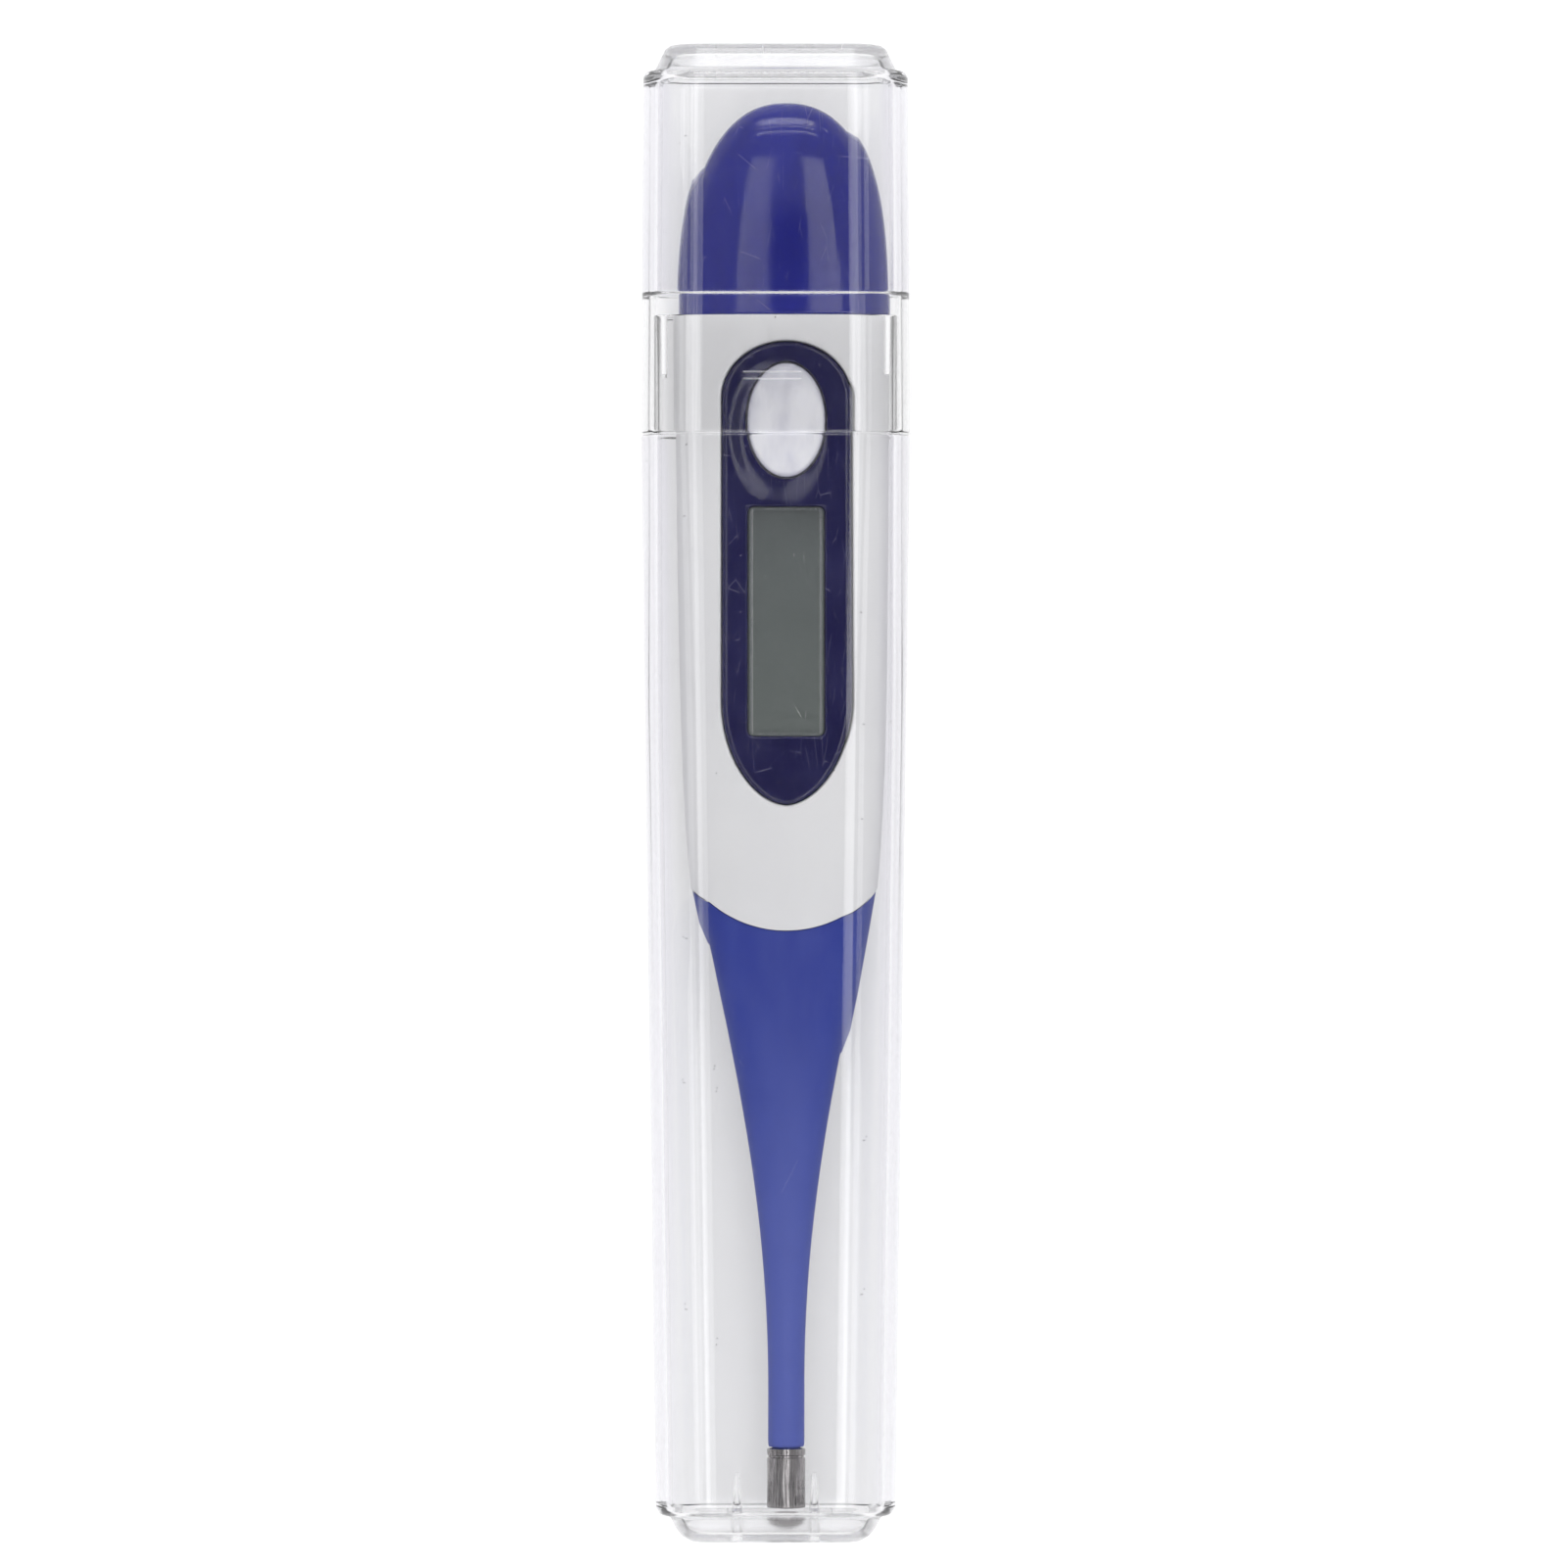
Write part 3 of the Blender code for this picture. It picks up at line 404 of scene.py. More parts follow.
# ------------------------------------------------------------------ materials
def clear_case_look():
    clear = (0.905, 0.905, 0.911)
    look = Look("clear moulded plastic", clear, 0.03, Transmission_Weight=1.0, IOR=1.49)
    haze = look.noise(look.mm(), 0.25, 2.0, 0.6)
    rising = look.scratches(0.35, 14.0, 2.4, 0.018, 0.60)
    falling = look.scratches(-0.8, 9.0, 2.8, 0.018, 0.60, 7.3)
    marks = look.math("MAXIMUM", rising, falling)
    dust = look.specks(2.6, 0.075, 0.10)
    rough = look.ranged(haze, 0.35, 0.7, 0.015, 0.05)
    rough = look.math("ADD", rough, look.math("MULTIPLY", look.math("MAXIMUM", marks, dust), 0.14))
    rough = look.math("ADD", rough, look.math("MULTIPLY", gate_marks(look), 0.5))
    ends = look.ranged(look.away("Y", 0.0), SHOULDER - 0.4, SHOULDER + 0.2, 0.0, 0.17)
    look.set("Roughness", look.math("ADD", rough, ends))
    neck_middle, neck_half = (NECK_FOOT + SKIRT_TOP) / 2, (SKIRT_TOP - NECK_FOOT) / 2
    thin = look.ranged(look.away("Y", neck_middle), neck_half + 0.3, neck_half)
    # Painted shade: a darker tint over the case's rounded sides, standing in for the grey that light passing
    # through their thick corners gives.
    side = look.ranged(look.away("X", 0.0), 8.6, 11.0, smooth=True)
    tint = look.mix(side, clear, (0.835, 0.83, 0.86))
    tint = look.mix(thin, tint, (0.955, 0.955, 0.958))
    look.set("Base Color", look.mix(dust, tint, (0.35, 0.34, 0.36)))
    flow = look.noise(look.mm((1.0, 0.12, 1.0)), 0.5, 1.0)
    look.set("Normal", look.bump(flow, 0.08, 0.06))
    look.lets_lamps_through()
    return look.material


def gate_marks(look):
    """1 on the cap's two short moulding marks, one above the other on its front, 0 elsewhere."""
    across = look.ranged(look.away("X", -0.3), 2.75, 2.35)
    from_mark = look.math("ABSOLUTE", look.math("SUBTRACT", look.away("Y", 37.1), 0.31))
    marks = look.math("MULTIPLY", across, look.ranged(from_mark, 0.09, 0.04))
    return look.math("MULTIPLY", marks, look.ranged(look.axis("Z"), 14.0, 14.2))


def window_look():
    look = Look("clear display window", (0.93, 0.94, 0.95), 0.03, Transmission_Weight=1.0, IOR=1.49)
    haze = look.noise(look.mm(), 0.6, 3.0)
    marks = look.scratches(0.6, 7.0, 1.6, 0.012, 0.6, 1.3)
    rough = look.ranged(haze, 0.3, 0.7, 0.02, 0.06)
    look.set("Roughness", look.math("ADD", rough, look.math("MULTIPLY", marks, 0.25)))
    look.set("Normal", look.bump(haze, 0.02, 0.01))
    look.lets_lamps_through((0.97, 0.97, 0.97, 1.0))
    return look.material


def housing_look():
    look = Look("white moulded ABS", (0.80, 0.80, 0.80), 0.3, IOR=1.52)
    broad = look.noise(look.mm((1.0, 0.4, 1.0)), 0.12, 3.0)
    grain = look.noise(look.mm(), 6.0, 4.0, 0.7)
    dirt = look.specks(2.3, 0.05, 0.12)
    colour = look.mix(look.ranged(broad, 0.35, 0.65), (0.775, 0.775, 0.78), (0.805, 0.805, 0.805))
    look.set("Base Color", look.mix(look.math("MULTIPLY", dirt, 0.7), colour, (0.24, 0.23, 0.24)))
    look.set("Roughness", look.ranged(grain, 0.3, 0.7, 0.26, 0.38))
    shape = look.bump(broad, 0.25, 0.08)
    look.set("Normal", look.bump(grain, 0.10, 0.01, shape))
    return look.material


def cover_look():
    look = Look("royal blue gloss ABS", (0.026, 0.027, 0.19), 0.14, IOR=1.54)
    broad = look.noise(look.mm((1.0, 0.35, 1.0)), 0.16, 3.0)
    grain = look.noise(look.mm(), 5.0, 3.0, 0.6)
    rising = look.scratches(0.9, 8.0, 1.5, 0.022, 0.54)
    falling = look.scratches(-0.35, 11.0, 1.9, 0.02, 0.55, 4.0)
    marks = look.math("MAXIMUM", rising, falling)
    dirt = look.specks(1.9, 0.04, 0.10, 2.0)
    colour = look.mix(look.ranged(broad, 0.35, 0.65), (0.016, 0.018, 0.175), (0.022, 0.026, 0.235))
    colour = look.mix(look.math("MULTIPLY", marks, 0.35), colour, (0.10, 0.10, 0.30))
    look.set("Base Color", look.mix(look.math("MULTIPLY", dirt, 0.5), colour, (0.25, 0.25, 0.38)))
    rough = look.ranged(broad, 0.3, 0.7, 0.06, 0.11)
    look.set("Roughness", look.math("ADD", rough, look.math("MULTIPLY", marks, 0.25)))
    shape = look.bump(broad, 0.3, 0.10)
    look.set("Normal", look.bump(grain, 0.06, 0.006, shape))
    return look.material


def stem_look():
    look = Look("soft blue thermoplastic rubber", (0.06, 0.085, 0.34), 0.55, IOR=1.42, Sheen_Weight=0.05)
    look.shader.inputs["Sheen Roughness"].default_value = 0.5
    look.shader.inputs["Sheen Tint"].default_value = (0.6, 0.65, 1.0, 1.0)
    along = look.ranged(look.axis("Y"), -9.0, -50.0, smooth=True)
    broad = look.noise(look.mm((1.0, 0.3, 1.0)), 0.35, 4.0, 0.6)
    grain = look.noise(look.mm(), 9.0, 4.0, 0.7)
    colour = look.mix(along, (0.017, 0.036, 0.29), (0.09, 0.12, 0.43))
    colour = look.mix(look.ranged(broad, 0.35, 0.7, 0.0, 0.22), colour, (0.10, 0.13, 0.45))
    dirt = look.specks(1.8, 0.05, 0.10, 5.0)
    look.set("Base Color", look.mix(look.math("MULTIPLY", dirt, 0.5), colour, (0.30, 0.32, 0.50)))
    look.set("Roughness", look.ranged(grain, 0.3, 0.7, 0.5, 0.66))
    shape = look.bump(broad, 0.3, 0.12)
    look.set("Normal", look.bump(grain, 0.3, 0.02, shape))
    return look.material


def bezel_look():
    look = Look("navy screen-backed acrylic", (0.019, 0.018, 0.062), 0.16, IOR=1.49)
    broad = look.noise(look.mm(), 0.22, 3.0)
    grain = look.noise(look.mm(), 6.0, 3.0)
    marks = look.math(
        "MAXIMUM", look.scratches(0.5, 5.0, 1.3, 0.02, 0.52, 2.2), look.scratches(-0.9, 6.0, 1.5, 0.018, 0.53)
    )
    dirt = look.math("MAXIMUM", look.specks(1.5, 0.05, 0.12, 1.0), look.specks(2.6, 0.09, 0.08, 3.0))
    colour = look.mix(look.ranged(broad, 0.35, 0.65), (0.0125, 0.0115, 0.056), (0.017, 0.016, 0.070))
    colour = look.mix(look.math("MULTIPLY", marks, 0.3), colour, (0.14, 0.14, 0.24))
    look.set("Base Color", look.mix(look.math("MULTIPLY", dirt, 0.45), colour, (0.28, 0.28, 0.36)))
    rough = look.ranged(broad, 0.3, 0.7, 0.07, 0.12)
    look.set("Roughness", look.math("ADD", rough, look.math("MULTIPLY", marks, 0.2)))
    look.set("Normal", look.bump(grain, 0.08, 0.006, look.bump(broad, 0.2, 0.06)))
    return look.material


def display_look():
    look = Look("reflective display glass", (0.12, 0.135, 0.13), 0.25, IOR=1.52)
    half_width, half_height = (size / 2 for size in WINDOW_SIZE)
    grain = look.noise(look.mm(), 14.0, 3.0, 0.7)
    along_window = look.ranged(look.axis("Y"), WINDOW_Y - half_height, WINDOW_Y + half_height)
    colour = look.mix(along_window, (0.138, 0.155, 0.143), (0.116, 0.129, 0.128))
    weave = look.node("ShaderNodeTexWave", wave_type="BANDS", bands_direction="Y")
    weave.inputs["Scale"].default_value = 2.2
    weave.inputs["Distortion"].default_value = 0.6
    look.link(look.mm(), weave.inputs["Vector"])
    colour = look.mix(look.math("MULTIPLY", weave.outputs["Fac"], 0.05), colour, (0.07, 0.08, 0.08))
    sides = look.ranged(look.away("X", AXIS[0]), half_width - 0.45, half_width)
    ends = look.ranged(look.away("Y", WINDOW_Y), half_height - 0.6, half_height)
    shaded_edge = look.math("MAXIMUM", sides, ends)
    colour = look.mix(look.math("MULTIPLY", shaded_edge, 0.7), colour, (0.055, 0.062, 0.066))
    look.set("Base Color", look.mix(look.ranged(grain, 0.35, 0.7, 0.0, 0.16), colour, (0.17, 0.19, 0.18)))
    look.set("Roughness", look.ranged(grain, 0.3, 0.7, 0.2, 0.32))
    look.set("Normal", look.bump(grain, 0.05, 0.005))
    return look.material


def button_look():
    look = Look("frosted silicone key", (0.60, 0.60, 0.71), 0.32, IOR=1.43, Subsurface_Weight=0.35)
    look.shader.inputs["Subsurface Scale"].default_value = 0.0012
    look.shader.inputs["Subsurface Radius"].default_value = (1.0, 1.0, 1.15)
    broad = look.noise(look.mm((1.0, 0.5, 1.0)), 0.3, 4.0, 0.6)
    grain = look.noise(look.mm(), 7.0, 4.0, 0.7)
    marks = look.scratches(0.7, 4.0, 1.2, 0.025, 0.5, 4.4)
    # Painted light: the key's colour grows lighter towards its lower end.
    painted_key_light = look.ranged(look.axis("Y"), 37.6, 28.4, smooth=True)
    colour = look.mix(painted_key_light, (0.62, 0.62, 0.67), (0.68, 0.68, 0.76))
    colour = look.mix(look.ranged(broad, 0.4, 0.62, 0.0, 1.0), colour, (0.82, 0.82, 0.85))
    # Painted shade: the key's colour darkens in a band round its rim.
    across = look.math("DIVIDE", look.away("X", AXIS[0]), KEY_HALF[0])
    up = look.math("DIVIDE", look.away("Y", KEY_Y), KEY_HALF[1])
    outward = look.math("ADD", look.math("POWER", across, 2.0), look.math("POWER", up, 2.0))
    colour = look.mix(look.ranged(outward, 0.84, 1.0, 0.0, 0.75), colour, (0.42, 0.42, 0.52))
    look.set("Base Color", look.mix(look.math("MULTIPLY", marks, 0.5), colour, (0.82, 0.82, 0.88)))
    look.set("Roughness", look.ranged(grain, 0.3, 0.7, 0.26, 0.42))
    look.set("Normal", look.bump(grain, 0.12, 0.01, look.bump(broad, 0.3, 0.10)))
    return look.material


def metal_look(name, colour, rough, streak):
    """Metal with fine drawing marks, drawn out along the axis whose streak is smallest, and dull spots."""
    look = Look(name, colour, rough[0], Metallic=1.0)
    brushed = look.noise(look.mm(streak), 2.6, 5.0, 0.65)
    spots = look.noise(look.mm(), 1.1, 4.0, 0.6)
    dents = look.noise(look.mm((1.0, 0.8, 1.0)), 0.55, 2.0)
    dark = tuple(c * 0.6 for c in colour)
    light = tuple(min(1.0, c * 1.25) for c in colour)
    tone = look.mix(look.ranged(brushed, 0.35, 0.65), dark, light)
    tone = look.mix(look.ranged(spots, 0.5, 0.75, 0.0, 0.5), tone, tuple(c * 0.8 for c in dark))
    look.set("Base Color", tone)
    look.set("Roughness", look.ranged(spots, 0.3, 0.7, *rough))
    look.set("Normal", look.bump(brushed, 0.35, 0.02, look.bump(dents, 0.5, 0.12)))
    return look.material


def plain_look(name, light, dark, roughness, grain_scale=4.0, bump=0.2, **fixed):
    look = Look(name, light, roughness, **fixed)
    broad = look.noise(look.mm(), 0.45, 4.0, 0.6)
    grain = look.noise(look.mm(), grain_scale, 4.0, 0.7)
    colour = look.mix(look.ranged(broad, 0.3, 0.7), dark, light)
    colour = look.mix(look.ranged(grain, 0.4, 0.75, 0.0, 0.3), colour, tuple(0.6 * c for c in dark))
    look.set("Base Color", colour)
    look.set("Roughness", look.ranged(grain, 0.3, 0.7, roughness * 0.8, min(1.0, roughness * 1.25)))
    look.set("Normal", look.bump(grain, bump, 0.015, look.bump(broad, bump, 0.04)))
    return look.material


def board_look():
    look = Look("green solder mask", (0.02, 0.14, 0.06), 0.35)
    cells = look.node("ShaderNodeTexBrick")
    cells.inputs["Scale"].default_value = 0.55
    cells.inputs["Mortar Size"].default_value = 0.09
    cells.inputs["Mortar Smooth"].default_value = 0.2
    cells.inputs["Color1"].default_value = (0.0, 0.0, 0.0, 1.0)
    cells.inputs["Color2"].default_value = (0.0, 0.0, 0.0, 1.0)
    cells.inputs["Mortar"].default_value = (1.0, 1.0, 1.0, 1.0)
    look.link(look.mm(), cells.inputs["Vector"])
    traces = cells.outputs["Color"]
    grain = look.noise(look.mm(), 8.0, 3.0)
    colour = look.mix(look.ranged(grain, 0.35, 0.65), (0.015, 0.11, 0.05), (0.025, 0.16, 0.07))
    look.set("Base Color", look.mix(traces, colour, (0.04, 0.24, 0.10)))
    look.set("Roughness", look.ranged(grain, 0.3, 0.7, 0.28, 0.42))
    look.set("Normal", look.bump(grain, 0.1, 0.01, look.bump(traces, 0.5, 0.03)))
    return look.material


def zebra_look():
    look = Look("striped conductive rubber", (0.70, 0.42, 0.46), 0.6)
    bands = look.node("ShaderNodeTexWave", bands_direction="Y")
    bands.inputs["Scale"].default_value = 1.6
    look.link(look.mm(), bands.inputs["Vector"])
    grain = look.noise(look.mm(), 9.0, 3.0)
    stripe = look.ranged(bands.outputs["Fac"], 0.45, 0.55)
    look.set("Base Color", look.mix(stripe, (0.76, 0.46, 0.50), (0.06, 0.05, 0.05)))
    look.set("Roughness", look.ranged(grain, 0.3, 0.7, 0.5, 0.7))
    look.set("Normal", look.bump(grain, 0.2, 0.02))
    return look.material


CLEAR = clear_case_look()
WINDOW = window_look()
WHITE = housing_look()
BLUE = cover_look()
SOFT = stem_look()
NAVY = bezel_look()
DISPLAY = display_look()
KEY = button_look()
METAL = metal_look("nickel-plated steel", (0.36, 0.345, 0.345), (0.07, 0.2), (3.0, 0.12, 3.0))
CAN = metal_look("stainless battery can", (0.68, 0.67, 0.65), (0.2, 0.36), (1.0, 1.0, 6.0))
SPRING = metal_look("plated contact strip", (0.72, 0.70, 0.66), (0.18, 0.34), (0.4, 3.0, 0.4))
BRASS = metal_look("buzzer brass", (0.78, 0.56, 0.24), (0.22, 0.4), (1.0, 1.0, 1.0))
BOARD = board_look()
ZEBRA = zebra_look()
BLACK = plain_look("black glob epoxy", (0.016, 0.016, 0.017), (0.009, 0.009, 0.010), 0.32)
CERAMIC = plain_look("silvered piezo ceramic", (0.74, 0.72, 0.66), (0.60, 0.58, 0.52), 0.42, 9.0)
TAN = plain_look("capacitor ceramic", (0.47, 0.31, 0.17), (0.36, 0.23, 0.12), 0.5, 9.0)
FILM = plain_look("reflector film", (0.66, 0.69, 0.66), (0.56, 0.59, 0.56), 0.35, 12.0, 0.1)
RUBBER = plain_look("seal rubber", (0.035, 0.035, 0.04), (0.02, 0.02, 0.024), 0.65, 7.0)
POTTING = plain_look("potting epoxy", (0.56, 0.43, 0.20), (0.42, 0.30, 0.13), 0.3, 5.0)
WIRE = plain_look("enamelled wire", (0.42, 0.05, 0.02), (0.28, 0.03, 0.015), 0.3, 6.0, 0.1)


# ------------------------------------------------------------------ storage case
def case_ring(y, inset, half_width, depth, inside):
    """The case's section at y. The inner skin has the tighter corners of a moulded box."""
    radius = max(CORNER - inset * (1.75 if inside else 1.0), 0.8)
    return rounded_box(half_width - inset, inset, depth - inset, radius, y)


def body_ring(y, inset, inside=False):
    t = max(SEAM - y, 0.0) / (SEAM + SHOULDER)
    return case_ring(y, inset, lerp(*BODY_HALF, t), lerp(*BODY_DEPTH, t), inside)


def cap_ring(y, inset, inside=False):
    t = (y - SEAM) / (SHOULDER - SEAM)
    return case_ring(y, inset, lerp(*CAP_HALF, t), lerp(*CAP_DEPTH, t), inside)


def case_rings(section, profile, rim):
    """The rings of a whole shell: the profile's points after its rim are the inner skin's."""
    turn = min(range(len(profile)), key=lambda k: abs(profile[k][0] - rim))
    return [section(y, inset, k > turn) for k, (y, inset) in enumerate(profile)]


def along(profile, step=4.0):
    """Adds points to the long stretches of a profile, so that the skin has even quads."""
    out = [profile[0]]
    for p, q in zip(profile, profile[1:]):
        count = max(1, round(abs(q[0] - p[0]) / step))
        out += [(lerp(p[0], q[0], k / count), lerp(p[1], q[1], k / count)) for k in range(1, count + 1)]
    return out


def build_case_body():
    foot = 1.3  # how far the raised foot stands in from the sides
    outer = [(-HALF_LENGTH, foot + 3.4), (-HALF_LENGTH, foot + 1.9), (-66.2, foot + 1.0), (-65.4, foot + 0.4)]
    outer += [(-64.5, foot), (-SHOULDER, 0.45), (-63.7, 0.0)]
    outer += [(NECK_FOOT, 0.0), (NECK_FOOT, 0.95), (NECK_TOP, 0.98)]
    inner = [(NECK_TOP, 1.4), (31.0, 1.4, 2.0), (8.0, 1.1, 2.0), (-63.6, 1.1, 0.4), (-64.25, foot + 1.1, 0.4)]
    inner += [(-65.7, foot + 1.7, 0.6), (-65.7, foot + 3.0)]
    profile = along(rounded(outer + inner, 0.22))
    body = skin("clear_case_body", case_rings(body_ring, profile, NECK_TOP), CLEAR, angle=28)
    combine(body, "DIFFERENCE", foot_recess(), angle=28)
    fins = [case_fin(side, foot) for side in (-1, 1)]
    combine(body, "UNION", *fins, angle=28)
    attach(body, "case")
    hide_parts("case_body")


def foot_recess():
    """What the shallow pocket in the foot takes away: a slab made lying flat, then stood up there."""
    recess = stack(
        "foot_recess",
        lambda grow: box_outline(-0.6, 0.0, 9.3, 7.0, 1.0, grow),
        [(-1.0, 0.1), (0.35, 0.1), (0.5, -0.1)],
        None,
    )
    for vertex in recess.data.vertices:
        x, y, z = vertex.co
        vertex.co = (x, -HALF_LENGTH * MM + (z - AXIS[1] * MM), 6.9 * MM + y)
    recess.data.flip_normals()
    return recess


def case_fin(side, foot):
    """One of the two ribs that steady the tip, cropped to end inside the body's wall."""
    limits = [(-66.3, foot + 2.3), (-65.8, foot + 1.4), (-65.4, foot + 0.8), (-64.1, foot + 0.4)]
    limits += [(-63.9, 0.85), (-63.3, 0.4), (-50.0, 0.4)]
    limit = skin("limit", [body_ring(y, inset) for y, inset in limits])
    return combine(case_rib(side), "INTERSECT", limit)


def case_rib(side):
    """A tapering upright rib: each level is (height, thickness, how far its front leans back)."""
    levels = [(0.0, 0.98, 0.0), (1.5, 0.86, 0.1), (3.0, 0.75, 0.35)]
    levels += [(3.9, 0.66, 1.4), (4.7, 0.56, 3.2), (5.2, 0.42, 4.6)]
    foot_y, half_gap, back, front = -66.1, 3.45, 0.8, 10.2
    rings = []
    for height, thickness, lean in levels:
        half = thickness / 2
        ring = []
        for z0, sign in ((front - lean - half, 1), (back + half, -1)):
            for k in range(7):
                a = math.pi * k / 6
                across = side * half_gap + sign * half * math.cos(a)
                ring.append((across, foot_y + height, z0 + sign * half * math.sin(a)))
        rings.append(ring)
    return skin("rib", rings)


def build_case_cap():
    top = 1.06  # how far the raised top stands in from the sides
    outer = [(HALF_LENGTH, top + 3.6), (HALF_LENGTH, top + 2.1), (66.6, top + 1.35), (66.3, top + 0.9)]
    outer += [(64.4, top), (SHOULDER, 0.35), (63.8, 0.0), (SEAM, 0.0)]
    inner = [(SEAM, 0.75), (44.4, 0.75), (SKIRT_TOP, 1.3), (63.4, 1.3, 0.4), (64.1, top + 1.15, 0.4)]
    inner += [(65.6, top + 1.8, 0.5), (65.6, top + 3.2)]
    profile = along(rounded(outer + inner, 0.2))
    cap = skin("clear_case_cap", case_rings(cap_ring, profile, SEAM), CLEAR, angle=28)
    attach(cap, "cap")
    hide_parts("case_cap")


# ------------------------------------------------------------------ thermometer skin
def housing_at(y):
    """Half width and half depth of the housing at y."""
    low, high = 0.0, 1.0
    for _ in range(30):
        t = (low + high) / 2
        if bezier(HOUSING, t)[0] > y:
            low = t
        else:
            high = t
    return bezier(HOUSING, (low + high) / 2)[1:]


def front_z(x, y):
    """Height of the housing's front skin over the thermometer's axis."""
    wide, deep = housing_at(y)
    return deep * (1 - min(abs(x) / wide, 0.999) ** POWER) ** (1 / POWER)


def bezel_outline(grow, count=48, straight=40):
    """The front panel's outline: a round top, straight sides, and a longer foot that is a little pointed."""
    wide = BEZEL_HALF_WIDTH + grow
    points = []
    for k in range(count + 1):
        a = math.pi * k / count
        points.append((wide * math.cos(a), BEZEL_TOP_Y + (BEZEL_TOP_RISE + grow) * math.sin(a)))
    for k in range(1, straight):
        points.append((-wide, lerp(BEZEL_TOP_Y, BEZEL_FOOT_Y, k / straight)))
    for k in range(count + 1):
        a = math.pi + math.pi * k / count
        across = math.copysign(abs(math.cos(a)) ** 1.12, math.cos(a))
        points.append((wide * across, BEZEL_FOOT_Y + (BEZEL_FOOT_DROP + grow) * math.sin(a)))
    for k in range(1, straight):
        points.append((wide, lerp(BEZEL_FOOT_Y, BEZEL_TOP_Y, k / straight)))
    return points


def window_outline(radius, grow):
    return box_outline(0.0, WINDOW_Y, *WINDOW_SIZE, radius, grow)


def oval(grow=0.0, scale=1.0, count=96):
    """The key's outline, grown by grow and then scaled about its middle."""
    points = []
    for k in range(count):
        a = 2 * math.pi * k / count
        across = (KEY_HALF[0] + grow) * scale * math.cos(a)
        points.append((across, KEY_Y + (KEY_HALF[1] + grow) * scale * math.sin(a)))
    return points


def housing_hollow():
    """What the housing is hollowed out by, open towards the cover and the stem."""
    rings = []
    for k in range(31):
        y, wide, deep = bezier(HOUSING, k / 30)
        rings.append(superellipse(wide - HOUSING_WALL, deep - HOUSING_WALL, POWER, y))
    mouth = [(x, COVER_EDGE + 2.0, z) for x, _, z in rings[0]]
    end = [(x * 0.9, -15.2, z * 0.9) for x, _, z in rings[-1]]
    return skin("hollow", [mouth, *rings, end], None, AXIS)


def end_outline(count=160):
    """The front view of what the housing keeps: all above the arc's centre, and the arc below it."""
    points = [(15.0, 60.0), (-15.0, 60.0), (-15.0, ARC_Y + 0.001)]
    for k in range(count + 1):
        a = math.pi + math.pi * k / count
        points.append((ARC_R * math.cos(a), ARC_Y + ARC_R * math.sin(a)))
    points.append((15.0, ARC_Y + 0.001))
    return points


def build_housing():
    rings = []
    mouth = ((COVER_EDGE, 0.25), (COVER_EDGE, 0.12), (COVER_EDGE - 0.04, 0.03), (COVER_EDGE - 0.15, 0.0))
    for y, inset in mouth:
        wide, deep = housing_at(y)
        rings.append(superellipse(wide - inset, deep - inset, POWER, y))
    for k in range(1, 61):
        y, wide, deep = bezier(HOUSING, k / 60)
        if y < COVER_EDGE - 0.3:
            rings.append(superellipse(wide, deep, POWER, y))
    rings.append([(x * 0.93, -13.2, z * 0.93) for x, _, z in rings[-1]])
    body = skin("housing_shell", rings, WHITE, AXIS, angle=24)
    hollow = housing_hollow()
    lip = [(-3.2, 0.05), (-0.34, 0.05), (-0.16, 0.1), (-0.05, 0.2), (0.0, 0.32), (0.06, 0.5), (1.2, 0.52)]
    aperture = stack("aperture", bezel_outline, lip, None, lift=front_z)
    combine(body, "DIFFERENCE", hollow, angle=24)
    combine(body, "DIFFERENCE", aperture, angle=24)
    keep = skin("keep", [[(x, y, z) for x, y in end_outline()] for z in (-10.0, 10.0)], None, AXIS)
    combine(body, "INTERSECT", keep, angle=24)
    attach(body, "thermometer")
    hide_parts("housing")


def dish(x, y):
    """The shallow finger dish round the key, deeper towards its lower left."""
    d = math.hypot((x + 0.75) / 4.45, (y - 32.3) / 6.7)
    t = min(max((1 - d) / 0.3, 0.0), 1.0)
    return -0.22 * t * t * (3 - 2 * t)


def inward(share):
    """The panel's inner edge drawn in towards the line down its middle, which it reaches at share 0."""
    points = []
    for x, y in bezel_outline(-0.4):
        middle = min(max(y, BEZEL_FOOT_Y), BEZEL_TOP_Y)
        points.append((x * share, middle + (y - middle) * share))
    return points


def build_bezel():
    under, face = -1.1, -0.1
    edge = [(-0.55, 0.0), (-0.36, -0.02), (-0.24, -0.07), (-0.16, -0.15), (-0.115, -0.26), (face, -0.4)]
    shares = [k / 40 for k in range(40)]

    def ring(points, rise, dished=False):
        return [(x, y, PANEL + rise + (dish(x, y) if dished else 0.0)) for x, y in points]

    rings = [ring(inward(share), under) for share in shares]
    rings.append(ring(bezel_outline(0.0), under))
    rings += [ring(bezel_outline(grow), rise, rise == face) for rise, grow in edge]
    rings += [ring(inward(share), face, True) for share in reversed(shares)]
    bm = bmesh.new()
    bridge(bm, placed(bm, rings, AXIS))
    bmesh.ops.remove_doubles(bm, verts=bm.verts[:], dist=0.002 * MM)
    bmesh.ops.dissolve_degenerate(bm, dist=0.0005 * MM, edges=bm.edges[:])
    bezel = finished("bezel_panel", bm, NAVY, 40)
    window = stack(
        "window_hole",
        lambda grow: window_outline(0.45, grow),
        [(-2.0, 0.12), (-0.36, 0.12), (-0.20, 0.15), (-0.13, 0.22), (-0.1, 0.27), (1.0, 0.6)],
        None,
        lift=lambda x, y: PANEL,
    )
    hole = stack("key_hole", oval, [(1.0, 0.2), (8.0, 0.2)], None)
    combine(bezel, "DIFFERENCE", window, hole, angle=40)
    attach(bezel, "thermometer")
    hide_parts("front_bezel")


